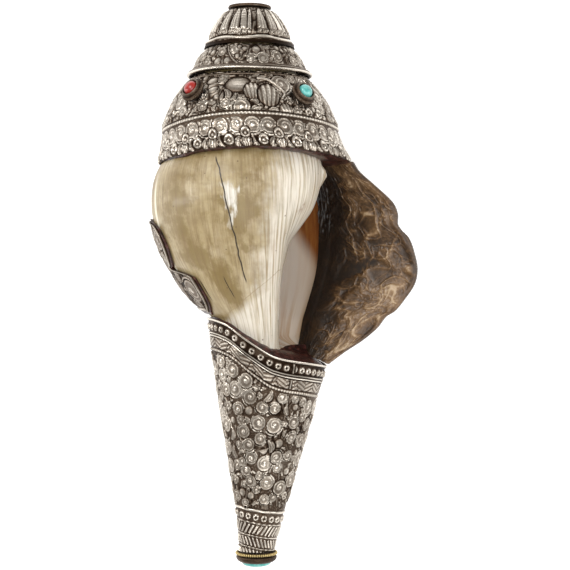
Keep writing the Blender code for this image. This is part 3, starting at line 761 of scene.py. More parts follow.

# %% The mouth's colours, with painted shade and a painted glow
# The mouth's colour runs from the lip end at 0 to the pillar at 1. Its greyer stops towards the pillar are
# painted shade under the inner lip.
into_mouth = add_node(tree, "MapRange", (around, -CAVITY_TURN / 360, 0.0))
deep = add_node(tree, "ValToRGB", (into_mouth,), stops=(
    (0.0, "C4AC8E"), (0.12, "E4D8CA"), (0.30, "F2EAE0"), (0.60, "DCD0C0"), (0.86, "D8CCB8"), (1.0, "E2D9C8"),
))
amber = mask((shell_noise(60, 12, 3.0, 11.0), 0.42, 0.62), (at_y, -0.034, 0.0, 0.7, 0.15))
# An orange glow along the lip side of the mouth is painted light, as if shining through the thin wall.
glow_edge = add_node(tree, "Math", (at_y, 1.6, -0.382), operation="MULTIPLY_ADD")
past_edge = add_node(tree, "Math", (around, glow_edge), operation="SUBTRACT")
lit = mask((past_edge, -0.008, 0.020, 1.0, 0.0))
glow_stops = ((0.35, "6A3610"), (0.5, "8E5420"), (0.65, "A8743C"))
glow = add_node(tree, "ValToRGB", (shell_noise(90, 25, 5.0, 17.0),), stops=glow_stops)
deep = painted(deep, (("B98A48", amber), (glow, lit)))
inside_mouth = mask((around, -0.004, 0.004, 1.0, 0.0))

# %% The shell's finish put together
growth_lines = mask(shell_noise(300, 12, 3.0, 2.0), (shell_noise(9, 60, 3.0, 1.0), 0.0, 1.0, 0.4, 1.0))
lined = add_node(tree, "Bump", {"Strength": 0.35, "Distance": 0.2 * MM, "Height": growth_lines})
cut = {"Strength": 0.15, "Distance": 0.1 * MM, "Height": crack, "Normal": lined}
into_shader(worn_chank, {
    "Base Color": painted(painted(broad, skin_layers), ((deep, inside_mouth),)),
    "Normal": add_node(tree, "Bump", cut, invert=True),
})
conch_shell.data.materials.append(worn_chank)

# %% [markdown]
# ## The cap over the spire
#
# Three sheets and a mouthpiece make the cap: a crown of upright petals, a collar of scrolls
# with a plain half-round moulding, and a skirt with a frieze over a band of large petals.
# Each is a sheet of revolution about the cap's own centre line, laid out as a fine grid of
# about half a millimetre, stamped, and then closed with a plain inner face.

# %% Sheets of revolution
THICKNESS = 0.0012
PLAIN_TONE = 0.3
CAP_CENTRE = ((0.065, -0.0016), (0.078, -0.0037), (0.090, -0.0044), (0.145, -0.0044))


def cap_centre(y):
    return through(CAP_CENTRE, y)


def profile_rows(profile, count):
    """Radii and heights at even steps along a smooth profile."""
    points = np.array(profile)
    run = np.append(0, np.cumsum(np.hypot(*np.diff(points, axis=0).T)))
    at = np.linspace(0, run[-1], count)
    return smooth(run, points[:, 0], at), smooth(run, points[:, 1], at)


def closed_sheet(name, base, outside, tone, inner_rows=6):
    """A silver sheet: its worked outside, then a plain inner face, as one grid that meets its start."""
    inner = base - outward(base) * THICKNESS
    inner[:, -1] = inner[:, 0]
    outside[..., 2] = np.maximum(outside[..., 2], 0.0)
    inner[..., 2] = np.maximum(inner[..., 2], THICKNESS)
    back = np.linspace(len(base) - 1, 0, inner_rows).astype(int)
    places = np.concatenate([outside, inner[back], outside[:1]])
    tones = np.concatenate([tone, 0 * tone[back] + PLAIN_TONE, tone[:1]])
    piece = grid_piece(name, places, tones)
    piece.data.materials.append(repousse_silver)
    return piece


def skirt_lift(angle, y):
    """How much higher the skirt's lower part runs at the front, and lower at the sides."""
    front = 0.0027 * np.clip(np.sin(np.radians(angle)), 0, 1) ** 2
    sides = np.where(np.cos(np.radians(angle)) < 0, 0.0026, 0.0014) * np.cos(np.radians(angle)) ** 2
    return (front - sides) * (1 - ease(0.086, 0.103, y))


def cap_sheet(name, profile, rows, columns, depth, work):
    """A sheet of the cap: its grid, its stamped relief, and the piece."""
    radius, y = (row[:, None] for row in profile_rows(profile, rows))
    angle = np.linspace(0, 360, columns)[None]
    base = polar(cap_centre(y), angle, radius, y + skirt_lift(angle, y))
    sheet = Sheet(base, cap_centre(y), depth)
    work(sheet, y)
    soft = dents(angle / 360, y / 0.012, 1 / 24, 5, wrap=1.0) * 0.00012 - 0.0001
    return closed_sheet(name, base, raised(base, sheet.metres() + soft), sheet.tone())


# %% [markdown]
# ### The crown
#
# Six groups of petals stand round the crown: a plain one, a narrow bright rib, and two that
# are cut with fine upright lines. Each ends in a curled foot over the rim.

# %% The crown
CROWN_PROFILE = (
    (0.0082, 0.1430), (0.0125, 0.1426), (0.0174, 0.1372), (0.0212, 0.1305),
    (0.0220, 0.1270), (0.0238, 0.1252), (0.0246, 0.1232),
)
PETAL_GROUP = 60
PETALS = ((99.4, 7.2, False), (88.7, 2.9, False), (69.4, 7.6, True), (51.5, 7.6, True))
PETAL_FOOT, PETAL_TIP = 0.1276, 0.1421


def work_crown(sheet, y):
    rise = np.clip((sheet.along - PETAL_FOOT) / (PETAL_TIP - PETAL_FOOT), 0, 1)
    for middle, half, cut in PETALS:
        off = (sheet.angle - middle + PETAL_GROUP / 2) % PETAL_GROUP - PETAL_GROUP / 2
        across = off / (half * (1.04 - 0.30 * rise**2) * np.sqrt(np.clip(1 - rise**8, 0.02, 1)))
        body = -0.35 + 1.15 * np.clip(1 - across**2, 0, 1) ** 0.45
        if cut:
            body = body + 0.42 * np.cos(across * 3.5 * math.pi) * (1 - 0.4 * rise)
        on = (np.abs(across) < 1) & (sheet.along > PETAL_FOOT) & (rise < 0.99)
        beside = (np.abs(across) < 1.25) & (sheet.along > PETAL_FOOT - 0.0006) & ~on
        sheet.height = np.where(on, body, np.where(beside, GROOVE, sheet.height))
    for group in range(0, 360, PETAL_GROUP):
        for middle, half, _ in PETALS:
            if half > 5:
                sheet.stamp(scroll, middle + 3.6 + group, 0.1292, 0.0016, hand=-1)
                sheet.stamp(scroll, middle - 3.6 + group, 0.1292, 0.0016, hand=1)
            else:
                sheet.stamp(boss, middle + group, 0.1287, 0.0012)
    wave = 0.0004 * np.sin(np.radians(sheet.angle * 6 + 40))
    sheet.lay((sheet.along - 0.1262 - wave) / 0.0009, 0.9)
    sheet.height = np.where(sheet.along < 0.1248, GROOVE, sheet.height)


crown = cap_sheet("crown_sheet", CROWN_PROFILE, 76, 400, 0.0009, work_crown)
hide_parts("crown")

# %% [markdown]
# ### The collar
#
# Beads, buds and spirals crowd between the crown and a plain moulding. A chased line frames
# the front group. The moulding is left smooth, so it takes the brightest light on the cap.

# %% The collar
COLLAR_PROFILE = (
    (0.0232, 0.1226), (0.0274, 0.1178), (0.0304, 0.1118), (0.0327, 0.1104), (0.0331, 0.1088),
    (0.0318, 0.1074),
)
COLLAR_FRONT = (
    (boss, -6.5, 124.0, 1.5, 0, 1), (boss, -0.5, 123.5, 2.3, 0, 1), (scroll, 3.5, 118.5, 2.9, 20, 1),
    (scroll, -3.0, 118.5, 2.4, 160, -1), (boss, 10.0, 124.0, 1.7, 0, 1), (scroll, 11.0, 119.5, 3.0, 90, 1),
    (scroll, 19.0, 117.0, 2.6, 40, -1), (leaf, 5.0, 124.5, 2.4, 20, 1), (boss, -16.0, 117.5, 1.9, 0, 1),
    (boss, -21.0, 117.0, 2.2, 0, 1), (scroll, -18.5, 122.0, 2.4, 60, 1), (boss, -23.5, 121.5, 1.8, 0, 1),
    (scroll, -26.5, 116.5, 2.5, 0, -1), (boss, -10.5, 119.8, 1.4, 0, 1), (leaf, -11.0, 116.9, 1.7, 160, 1),
    (boss, 14.8, 123.0, 1.3, 0, 1),
)
COLLAR_FRAME = ((-15.0, 125.0), (-13.5, 119.0), (-8.0, 115.5), (0.0, 115.0), (8.0, 114.2), (15.0, 113.0))
COLLAR_SIZES = ((0.0026, (scroll,)), (0.0020, (scroll, boss)), (0.0013, (boss,)), (0.0008, (boss,)))


def stamp_seen(sheet, motifs):
    """Stamps motifs given by where they are seen from above, in millimetres, and tells where they fell."""
    taken = []
    for motif, x, y, size, turn, hand in motifs:
        angle, along = sheet.seen(x * MM, y * MM)
        taken.append((angle, along, size * MM))
        sheet.stamp(motif, angle, along, size * MM, turn, hand)
    return taken


def line_seen(sheet, knots, width, top):
    """A raised wire through places given by where they are seen from above, in millimetres."""
    sheet.line([sheet.seen(x * MM, y * MM) for x, y in knots], width, top)


def work_collar(sheet, y):
    def field(angle, along, size):
        return 0.1116 + size < along < 0.1226 - size * 0.6

    taken = stamp_seen(sheet, COLLAR_FRONT)
    count = crowd(sheet, taken, field, COLLAR_SIZES, 11)
    line_seen(sheet, COLLAR_FRAME, 0.0005, 0.3)
    sheet.lay((y - 0.1110) / 0.0005, 0.1)
    sheet.height = np.where(y < 0.1100, GROOVE, sheet.height)
    wave = 0.0003 * np.sin(np.radians(sheet.angle * 3 + 70))
    sheet.lay((y - 0.1087 - wave) / 0.0012, 0.95)
    print("collar motifs", len(taken) + count)


collar = cap_sheet("collar_sheet", COLLAR_PROFILE, 60, 440, 0.0009, work_collar)
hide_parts("scroll_collar")

# %% [markdown]
# ### The skirt
#
# The frieze shows clouds, a smooth oval and flame-like leaves between the stones. Below a
# milled line hangs a band of eighteen large petals. Each is a pair of spirals over a teardrop,
# with small pointed petals between.

# %% The skirt's form and its stones
SKIRT_PROFILE = (
    (0.0300, 0.1080), (0.0316, 0.1068), (0.0350, 0.1030), (0.0400, 0.0970), (0.0432, 0.0915),
    (0.0453, 0.0870), (0.0461, 0.0850), (0.0467, 0.0790), (0.0484, 0.0725), (0.0504, 0.0675),
    (0.0507, 0.0650),
)
MILLED_LINE, MILLED_TEETH = 0.0818, 150
BAND_MIDDLE, BAND_RADIUS = 0.0730, 0.0485
BAND_UNITS = 18
FIRST_UNIT = 93.0
STONES = (
    ("coral", -41, 0.0968, "coral"), ("turquoise", 40, 0.0949, "turquoise"),
    ("back_turquoise", 177, 0.0950, "turquoise"),
)
STONE_ROOM = 0.0062


def oval(x, y, hand):
    """A smooth low oval, wider than tall."""
    return boss(x, y / 0.66, hand)


def flame(x, y, hand):
    """A rounded leaf cut with upright lines that spread towards its top."""
    r = np.hypot(x, y * 0.92)
    lines = 0.46 * np.cos(x / (1.15 + 0.25 * y) * 5.2 * math.pi)
    return rimmed(r, -0.55 + 1.05 * np.sqrt(np.clip(1 - r**2, 0, 1)) + lines)


# %% The skirt
FRIEZE_FRONT = (
    (oval, -10.0, 105.3, 6.4, 0, 1), (flame, -2.2, 102.0, 4.2, 8, 1), (flame, 6.8, 99.6, 5.6, -6, 1),
    (leaf, -15.5, 100.0, 3.6, 110, 1), (oval, -23.5, 102.3, 3.0, 20, 1), (oval, -23.3, 107.0, 3.2, 10, 1),
    (scroll, -29.0, 99.5, 2.4, 0, 1), (scroll, -29.0, 93.5, 2.9, 30, 1), (scroll, -16.5, 95.0, 2.8, 0, -1),
    (scroll, -7.5, 93.2, 4.4, 60, 1), (leaf, 0.5, 92.2, 3.6, 15, -1), (leaf, -0.5, 96.2, 2.6, 150, 1),
    (boss, 4.2, 90.4, 1.8, 0, 1), (scroll, 9.6, 90.2, 2.9, 0, -1), (flame, 16.3, 91.2, 3.6, 20, 1),
    (scroll, 22.2, 90.2, 2.4, 0, 1), (teardrop, 28.2, 89.6, 2.6, 20, 1), (teardrop, 33.6, 88.8, 2.8, 30, 1),
    (scroll, -40.0, 90.5, 2.6, 0, 1), (teardrop, -44.5, 89.5, 2.2, 10, 1), (leaf, -33.2, 92.2, 2.6, 70, 1),
    (leaf, -22.5, 92.6, 2.6, 80, -1), (leaf, -11.8, 98.6, 2.4, 60, 1),
)
FRIEZE_SIZES = (
    (0.0048, (flame, scroll)), (0.0034, (scroll, scroll, leaf)), (0.0025, (scroll, leaf)),
    (0.0017, (boss, scroll)), (0.0010, (boss,)),
)
FLAME_TONGUE = ((0.5, 108.5), (5.5, 107.8), (9.5, 105.5), (13.0, 102.8), (15.2, 100.0), (14.0, 97.8))


def stamp_band(sheet):
    """The band of petals. Places in a unit are in millimetres right of its middle and up."""
    per_mm = math.degrees(MM / BAND_RADIUS)
    between = 180 / BAND_UNITS / per_mm
    for number in range(BAND_UNITS):
        middle = FIRST_UNIT + number * 360 / BAND_UNITS

        def at(x, up, motif, size, turn=0.0, hand=1):
            angle = middle - x * per_mm
            along = BAND_MIDDLE + up * MM
            sheet.stamp(motif, angle, along + float(skirt_lift(angle, along)), size * MM, turn, hand)

        at(between, -4.8, teardrop, 3.1)
        at(between, 5.4, boss, 1.7)
        for side in (-1, 1):
            at(side * 3.4, -5.0, leaf, 3.8, -side * 62, side)
            at(side * 4.3, 3.0, scroll, 4.3, 90 - side * 90 + 40 * math.sin(number * 5), -side)
        at(0, -5.2, flame, 3.0)
        at(0, -1.2, teardrop, 2.9)


def work_skirt(sheet, y):
    def frieze(angle, along, size):
        low = MILLED_LINE + 0.0006 + skirt_lift(angle, MILLED_LINE)
        return low + size < along < 0.1066 - size

    taken = stamp_seen(sheet, FRIEZE_FRONT)
    stones = [(90 - turn, height, STONE_ROOM) for _, turn, height, _ in STONES]
    count = crowd(sheet, taken + stones, frieze, FRIEZE_SIZES, 23, tries=1500)
    line_seen(sheet, FLAME_TONGUE, 0.0007, 0.8)
    teeth = np.cos(np.radians(sheet.angle) * MILLED_TEETH)
    sheet.lay((y - 0.1064) / 0.0005, 0.1)
    sheet.lay((y - MILLED_LINE) / 0.0009, 0.5 + 0.35 * teeth)
    sheet.height = np.where(y < MILLED_LINE - 0.0010, -0.8, sheet.height)
    stamp_band(sheet)
    print("skirt motifs", len(taken) + count)


skirt = cap_sheet("skirt_sheet", SKIRT_PROFILE, 120, 640, 0.0011, work_skirt)
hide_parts("skirt")

# %% [markdown]
# ## The sheath over the canal
#
# A cone of silver, wrapped round the canal and lapped at the front in a wavy seam. Under its
# curved top edge run bands of ringed dots, wires and slanting leaves. Then scrolls cover it
# down to narrow bands at its foot.

# %% The sheath's form
CONE_SECTIONS = (
    (-0.1384, -0.0008, 0.0102), (-0.1330, -0.0002, 0.0106), (-0.1230, 0.0010, 0.0125),
    (-0.1074, 0.0020, 0.0159), (-0.0917, 0.0031, 0.0193), (-0.0760, 0.0042, 0.0230),
    (-0.0603, 0.0051, 0.0263), (-0.0447, 0.0062, 0.0298), (-0.0320, 0.0064, 0.0318),
    (-0.0170, 0.0064, 0.0334),
)
CONE_EDGE = (
    (0, -0.0430), (45, -0.0402), (85, -0.0363), (108, -0.0290), (136, -0.0195), (180, -0.0175),
    (225, -0.0205), (270, -0.0270), (315, -0.0385), (360, -0.0430),
)
CONE_LEVEL_TOP, CONE_FOOT = -0.0330, -0.1384
CONE_ROWS, CONE_COLUMNS = 236, 384


def cone_centre(y):
    return smooth([row[0] for row in CONE_SECTIONS], [row[1] for row in CONE_SECTIONS], y)


def cone_radius(y):
    return smooth([row[0] for row in CONE_SECTIONS], [row[2] for row in CONE_SECTIONS], y)


def cone_edge(angle):
    return through(CONE_EDGE, angle)


def cone_grid():
    """Near the top a row runs beside the wavy edge, and it is level at the foot."""
    share = np.linspace(0, 1, CONE_ROWS)[:, None]
    angle = np.linspace(0, 360, CONE_COLUMNS)[None]
    level = mix(CONE_LEVEL_TOP, CONE_FOOT, share)
    y = mix(level + cone_edge(angle) - CONE_LEVEL_TOP, level, ease(0.15, 0.90, share))
    return polar(cone_centre(y), angle, cone_radius(y), y), y, angle


# %% The sheath's ornament
RING_DOTS, LEAF_CELLS, FOOT_RINGS = 42, 30, 18
SEAM = (
    (20.0, -41.0), (16.8, -58.0), (13.6, -78.5), (12.4, -90.0), (11.5, -102.5), (10.6, -107.5),
    (10.6, -116.0),
)
CONE_FRONT = (
    (scroll, -19.0, -47.5, 3.8, 0, 1), (scroll, -12.0, -54.5, 4.1, 40, -1), (scroll, -4.0, -59.0, 3.9, 90, 1),
    (scroll, 2.5, -64.5, 3.2, 0, -1), (scroll, 9.5, -65.0, 3.0, 60, 1), (boss, 20.5, -64.5, 1.8, 0, 1),
    (scroll, 27.0, -64.5, 3.9, 0, -1), (scroll, -15.8, -63.5, 2.5, 0, 1),
    (scroll, -10.7, -65.5, 3.2, 180, -1),
    (boss, -4.7, -66.2, 2.4, 0, 1), (scroll, 0.5, -72.5, 3.9, 120, 1), (scroll, 9.2, -74.0, 4.2, 30, -1),
    (scroll, 19.6, -72.5, 3.4, 0, 1), (scroll, 26.2, -73.0, 3.0, 0, -1), (scroll, -19.5, -57.5, 2.6, 0, -1),
    (scroll, -7.5, -77.0, 3.5, 60, 1), (scroll, 1.5, -81.0, 3.2, 0, -1), (boss, 11.6, -83.5, 2.5, 0, 1),
    (scroll, 18.2, -80.5, 3.1, 0, 1), (scroll, 16.4, -89.6, 2.7, 0, -1), (boss, 20.6, -88.0, 1.7, 0, 1),
    (scroll, -3.5, -91.0, 3.4, 0, 1), (scroll, 3.6, -94.0, 4.0, 90, -1), (scroll, -11.0, -94.8, 2.6, 0, 1),
    (scroll, 10.6, -96.4, 2.6, 0, 1), (boss, 15.7, -98.0, 2.0, 0, 1), (scroll, -4.0, -103.0, 3.1, 0, -1),
    (scroll, -12.0, -102.3, 2.3, 0, 1), (scroll, 5.0, -104.0, 3.9, 0, 1), (boss, -8.6, -108.8, 2.3, 0, 1),
    (boss, -3.8, -110.6, 2.1, 0, 1), (scroll, 3.6, -112.6, 2.8, 0, -1), (teardrop, 14.4, -111.0, 2.3, 0, 1),
    (leaf, 6.6, -58.8, 3.6, 60, 1), (leaf, 15.6, -66.0, 3.0, 100, -1), (boss, -13.6, -71.0, 2.0, 0, 1),
    (leaf, -13.4, -78.5, 3.4, 80, 1), (leaf, 7.2, -84.6, 3.6, 110, 1), (leaf, 20.8, -96.5, 2.4, 70, 1),
    (leaf, -12.8, -87.6, 3.6, 100, -1), (leaf, 3.5, -87.4, 2.6, 20, 1),
)
CONE_SIZES = (
    (0.0040, (scroll,)), (0.0034, (scroll,)), (0.0028, (scroll, scroll, leaf)), (0.0022, (scroll, leaf)),
    (0.0016, (scroll, leaf)), (0.0012, (leaf,)),
)
TOP_WIRES = ((0.0004, 0.0008, 0.9), (0.0074, 0.0006, 0.7), (0.0088, 0.0006, 0.7))
FOOT_WIRES = ((0.0, 0.0008, 0.8), (0.0067, 0.0005, 0.6), (0.0135, 0.0006, 0.6), (0.0196, 0.0006, 0.5))


def foot_line(angle):
    """Where the foot's bands begin, a little lower at the right than at the left."""
    return -0.1168 - 0.0020 * np.cos(np.radians(angle))


def work_top(sheet, down, angle):
    """The bands under the sheath's edge. Down is how far a point lies below that edge."""
    cell = angle / 360 * LEAF_CELLS
    slant = np.where(np.floor(cell).astype(int) % 2 == 0, 1.0, -1.0)
    share = (down - 0.0097) / 0.0050
    hatch = 0.42 * np.cos(math.tau * (share * 2.4 + slant * (cell % 1.0) * 1.3))
    hatch = np.where(np.abs((cell + 0.35 * slant * share) % 1.0 - 0.5) > 0.47, -0.8, hatch)
    sheet.height = np.where((down > 0.0094) & (down < 0.0150), hatch, sheet.height)
    sheet.height = np.where(down < 0.0070, -0.85, sheet.height)
    for turn in (np.arange(RING_DOTS) + 0.5) * 360 / RING_DOTS:
        sheet.stamp(ringed_dot, turn, float(cone_edge(turn)) - 0.0044, 0.00205)
    line_seen(sheet, SEAM[:2], 0.0006, 0.4)
    for depth, width, top in TOP_WIRES:
        sheet.lay((down - depth) / width, top)
    sheet.lay((down - 0.0160) / 0.0008, 0.4 + 0.45 * np.cos(np.radians(angle) * 110))


def work_foot(sheet, below, angle):
    """The bands at the sheath's foot. Below is how far a point lies under their first line."""
    zigzag = 0.2 + 0.6 * np.cos(math.tau * (angle / 360 * 30 + np.abs((below - 0.0135) / 0.0042) * 0.9))
    sheet.height = np.where(below > 0, -0.8, sheet.height)
    sheet.height = np.where(below > 0.0072, zigzag, sheet.height)
    for turn in np.arange(FOOT_RINGS) * 360 / FOOT_RINGS:
        sheet.stamp(ringed_dot, turn, foot_line(turn) - 0.0037, 0.0022)
    for depth, width, top in FOOT_WIRES:
        sheet.lay((below - depth) / width, top)


def work_cone(sheet, edge, angle):
    def field(at_angle, along, size):
        top = cone_edge(at_angle % 360) - 0.0164
        return -0.1150 + size < along < top - size

    line_seen(sheet, SEAM, 0.0006, 0.0)
    taken = stamp_seen(sheet, CONE_FRONT)
    count = crowd(sheet, taken, field, CONE_SIZES, 31, tries=2200)
    work_top(sheet, edge - sheet.along, angle)
    work_foot(sheet, foot_line(angle) - sheet.along, angle)
    print("sheath motifs", len(taken) + count)


base, cone_y, cone_angle = cone_grid()
sheet = Sheet(base, cone_centre(cone_y), 0.0011, -0.6, 0.4)
work_cone(sheet, cone_edge(cone_angle), np.broadcast_to(cone_angle, cone_y.shape))
soft = dents(cone_angle / 360, cone_y / 0.09, 1 / 18, 7, wrap=1.0) * 0.00025 - 0.0002
cone = closed_sheet("sheath_sheet", base, raised(base, sheet.metres() + soft), sheet.tone())
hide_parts("cone")

# %% [markdown]
# ## The wing
#
# A skin that starts in the lip of the shell and sweeps out to a wavy rim. Its middle is a
# curve from the lip, which it leaves along the shell's own wall, to the rim, which it meets
# nearly level. The silver sheet is on the back of that middle and the brown skin on its front.

# %% The wing's form
WING_TOP, WING_ROOT_BOTTOM, WING_RIM_BOTTOM = 0.0640, -0.0365, -0.0416
WING_OUTLINE = (
    (-0.0415, 0.0372), (-0.0353, 0.0455), (-0.0290, 0.0549), (-0.0227, 0.0622), (-0.0168, 0.0668),
    (-0.0140, 0.0712), (-0.0085, 0.0758), (0.0000, 0.0814), (0.0076, 0.0829), (0.0150, 0.0817),
    (0.0240, 0.0786), (0.0285, 0.0745), (0.0312, 0.0728), (0.0368, 0.0727), (0.0430, 0.0700),
    (0.0525, 0.0601), (0.0590, 0.0530), (0.0640, 0.0498),
)
WING_RIM_HEIGHT = ((-0.042, -0.0020), (-0.020, 0.0020), (0.010, 0.0040), (0.040, 0.0030), (0.062, 0.0))
WING_REACH, WING_RIM_RISE = 0.36, 0.22


def wing_point(start, share, y):
    """The wing's middle: share is -1 deep in the lip's wall, 0 at the lip and 1 at the rim."""

    def in_wall(angle):
        return shell_point(angle, y, wall_thickness(angle) / 2)

    buried = in_wall(mix(LIP_ANGLE, start, np.clip(-share, 0, 1)))
    lip = in_wall(np.full(y.shape, float(LIP_ANGLE)))
    rim = np.stack([through(WING_OUTLINE, y), y, through(WING_RIM_HEIGHT, y)], -1) + AXIS
    reach = np.linalg.norm(rim - lip, axis=-1, keepdims=True) * WING_REACH
    out_of_lip = (unit(lip - in_wall(np.full(y.shape, LIP_ANGLE - 6.0))) + unit(rim - lip)) / 2
    into_rim = np.array([1.0, 0.0, WING_RIM_RISE]) / math.hypot(1.0, WING_RIM_RISE)
    t = np.clip(share, 0, 1)[..., None]
    curve = (
        lip * (1 - t) ** 3 + (lip + out_of_lip * reach) * 3 * t * (1 - t) ** 2
        + (rim - into_rim * reach) * 3 * t * t * (1 - t) + rim * t**3
    )
    return np.where((share <= 0)[..., None], buried, curve)


def wing_side(start, wall_share, rows, columns, outward_by):
    """One face of a skin of the wing, moved off its middle by outward_by(share, y, angle)."""
    across, down = np.meshgrid(np.linspace(0, 1, columns), np.linspace(0, 1, rows))
    in_the_open = (across - wall_share) / (1 - wall_share)
    share = np.where(across < wall_share, across / wall_share - 1, in_the_open)
    y = mix(WING_TOP, mix(WING_ROOT_BOTTOM, WING_RIM_BOTTOM, np.clip(share, 0, 1)), down)
    run = wing_point(start, np.minimum(share + 0.02, 1.0), y) - wing_point(start, share - 0.02, y)
    up = unit(np.stack([-run[..., 2], 0 * y, run[..., 0]], -1))
    angle = np.minimum(mix(LIP_ANGLE, start, -share), LIP_ANGLE)
    return wing_point(start, share, y) + up * outward_by(share, y, angle)[..., None], share, y


def clear_of_wall(share, angle):
    """How far a skin stands off the wing's middle, so that it clears the shell's wall."""
    return mix(wall_thickness(angle) / 2 + 0.0006, 0.0003, ease(0.2, 1.0, share))


def wrapped(face, back, face_tone, back_tone):
    """A closed plate from the grids of its two faces, which need only share their number of rows."""
    ring = np.concatenate([face, back[:, ::-1], face[:, :1]], 1)
    picks = np.linspace(0, face.shape[1] - 1, back.shape[1]).astype(int)
    for end in (0, -1):
        middle = (face[end] + resampled(back[end], face.shape[1])) / 2
        line = np.concatenate([middle, middle[picks][::-1], middle[:1]])
        ring = np.concatenate([line[None], ring] if end == 0 else [ring, line[None]])
    tone = np.concatenate([face_tone, back_tone[:, ::-1], face_tone[:, :1]], 1)
    return ring, np.concatenate([tone[:1], tone, tone[-1:]])


def resampled(line, count):
    at = np.linspace(0, len(line) - 1, count)
    return np.stack([np.interp(at, np.arange(len(line)), line[:, k]) for k in range(3)], -1)


# %% The brown skin's crumples
LINING_ROWS, LINING_COLUMNS = 260, 190
LINING = 0.0018
LINING_START, LINING_WALL = 317, 2 / 9
SKIN_WIDTH = 0.045
CREASES = (
    (0.7, 0.0100, 45, 8.0), (0.7, 0.0058, 46, 6.0), (0.55, 0.0032, 47, 4.5), (0.4, 0.0019, 49, 3.5),
)


def crumples(share, y):
    """Soft folds, thin creases over them, one deep fold, the rolled rim, and where the skin is free."""
    out = share * SKIN_WIDTH
    u, v = out + dents(out, y, 0.008, 41) * 0.0035, y + dents(out, y, 0.009, 44) * 0.0035
    folds = dents(u, v, 0.011, 42) + 0.5 * dents(u, v, 0.0045, 48)
    creases = sum(
        weight * np.clip(1 - np.abs(dents(u, v, size, seed)) * sharp, 0, 1) ** 1.6
        for weight, size, seed, sharp in CREASES
    )
    reach = np.clip(0.60 - share, 0, 1)
    valley = np.exp(-(((y - 0.0130 + 0.018 * reach) / (0.0008 + 0.011 * reach)) ** 2)) * (share < 0.60)
    rim = ease(0.90, 0.955, share) * np.sqrt(np.clip(1 - (np.maximum(share - 0.955, 0) / 0.045) ** 2, 0, 1))
    free = (0.25 + 0.75 * ease(0.05, 0.30, share)) * ease(0.0, 0.04, share) * (1 - ease(0.93, 0.98, share))
    return folds, creases, valley, rim, free


def lining_face(share, y, angle):
    """How far the skin's crumpled face stands out, with lumps of lac beside the top of the lip."""
    folds, creases, valley, rim, free = crumples(share, y)
    rise = (0.0007 * creases + 0.0011 * folds - 0.0016 * valley) * free + 0.0005 * rim
    slanted_out = share * SKIN_WIDTH + y * 0.6
    lumps = np.clip(dents(slanted_out, y - share * 0.03, 0.0036, 50), 0, 1) * 0.0010
    rise = np.maximum(rise, -0.0008) + lumps * ease(0.020, 0.034, y) * (1 - ease(0.15, 0.30, share))
    return clear_of_wall(share, angle) + LINING + rise


def lining_back(share, y, angle):
    return clear_of_wall(share, angle)


front, share, y = wing_side(LINING_START, LINING_WALL, LINING_ROWS, LINING_COLUMNS, lining_face)
back, _, _ = wing_side(LINING_START, LINING_WALL, LINING_ROWS, LINING_COLUMNS // 4, lining_back)

# %% The brown skin's painted light and shade
folds, creases, valley, rim, free = crumples(share, y)
# The skin's tone is painted light and shade: highlights on the creases and on the tops of the folds, shade in
# the deep fold, the shell's shadow over the part by the lip, and more light outwards and lower down. It is
# also a little darker on the rim and darker at the top by the lip, over the lumps of lac.
painted_light_and_shade = 0.21 + (0.44 * creases + 0.20 * folds - 0.36 * valley) * free + 0.22 * ease(0.2, 0.75, share)
painted_light_and_shade = painted_light_and_shade + 0.12 * ease(0.012, -0.020, y) - 0.26 * (1 - ease(0.0, 0.35, share)) - 0.04 * rim
painted_light_and_shade = painted_light_and_shade - 0.5 * ease(0.030, 0.045, y) * (1 - ease(0.05, 0.30, share))
painted_light_and_shade = painted_light_and_shade + 0.18 * ease(-0.016, -0.030, y) * folds
plate, tones = wrapped(front, back, np.clip(painted_light_and_shade, 0, 1), 0 * back[..., 0])
lining = grid_piece("wing_skin", plate, tones)
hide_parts("wing_lining")

# %% The silver back of the wing
SHEET_ROWS, SHEET_COLUMNS = 200, 150
SHEET_START, SHEET_WALL, SHEET_THICKNESS = 300, 1 / 3, 0.0011
WING_SIZES = ((0.0050, (scroll,)), (0.0038, (scroll, leaf)), (0.0026, (scroll, leaf)), (0.0015, (boss,)))


def wing_relief(share, y):
    """Scrolls over the back of the wing inside a plain rim, as heights from -1 to 1."""
    out = share * 0.05
    height = np.full(share.shape, -0.7)
    rng = np.random.default_rng(53)
    placed = []
    for size, motifs in WING_SIZES:
        for _ in range(500):
            x0, y0 = rng.uniform(0.006, 0.043), rng.uniform(-0.034, 0.056)
            turn, hand, pick = rng.uniform(0, math.tau), rng.choice((-1, 1)), rng.integers(len(motifs))
            if x0 + size > 0.0445 or any(math.hypot(x0 - a, y0 - b) < size + c for a, b, c in placed):
                continue
            placed.append((x0, y0, size))
            stamp(height, motifs[pick], out - x0, y - y0, size, turn, hand)
    edge = np.abs((share - 0.945) / 0.02)
    height = np.where(edge < 1, np.sqrt(np.clip(1 - edge**2, 0, 1)), height)
    return np.where(share < 0.02, -0.1, height)


def sheet_back(share, y, angle):
    lift = 0.0012 * (1 - ease(SHEET_START, LIP_ANGLE, angle))
    return -clear_of_wall(share, angle) - lift


def sheet_face(share, y, angle):
    depth = 0.0008 * (1 - ease(0.93, 1.0, share))
    worked = (np.clip(wing_relief(share, y), -1, 1.2) - 1) * depth / 2
    return sheet_back(share, y, angle) - SHEET_THICKNESS - worked


face, share, y = wing_side(SHEET_START, SHEET_WALL, SHEET_ROWS, SHEET_COLUMNS, sheet_face)
back, _, _ = wing_side(SHEET_START, SHEET_WALL, SHEET_ROWS, SHEET_COLUMNS // 4, sheet_back)
plate, tones = wrapped(face, back, tone_of(wing_relief(share, y)), 0 * back[..., 0] + PLAIN_TONE)
wing_sheet = grid_piece("wing_back_sheet", plate, tones)
wing_sheet.data.materials.append(repousse_silver)
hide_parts("wing_sheet")

# %% [markdown]
# ## The panel on the shell's back
#
# A lobed sheet wraps the shell's back. Two of its lobes come round the left side into view.

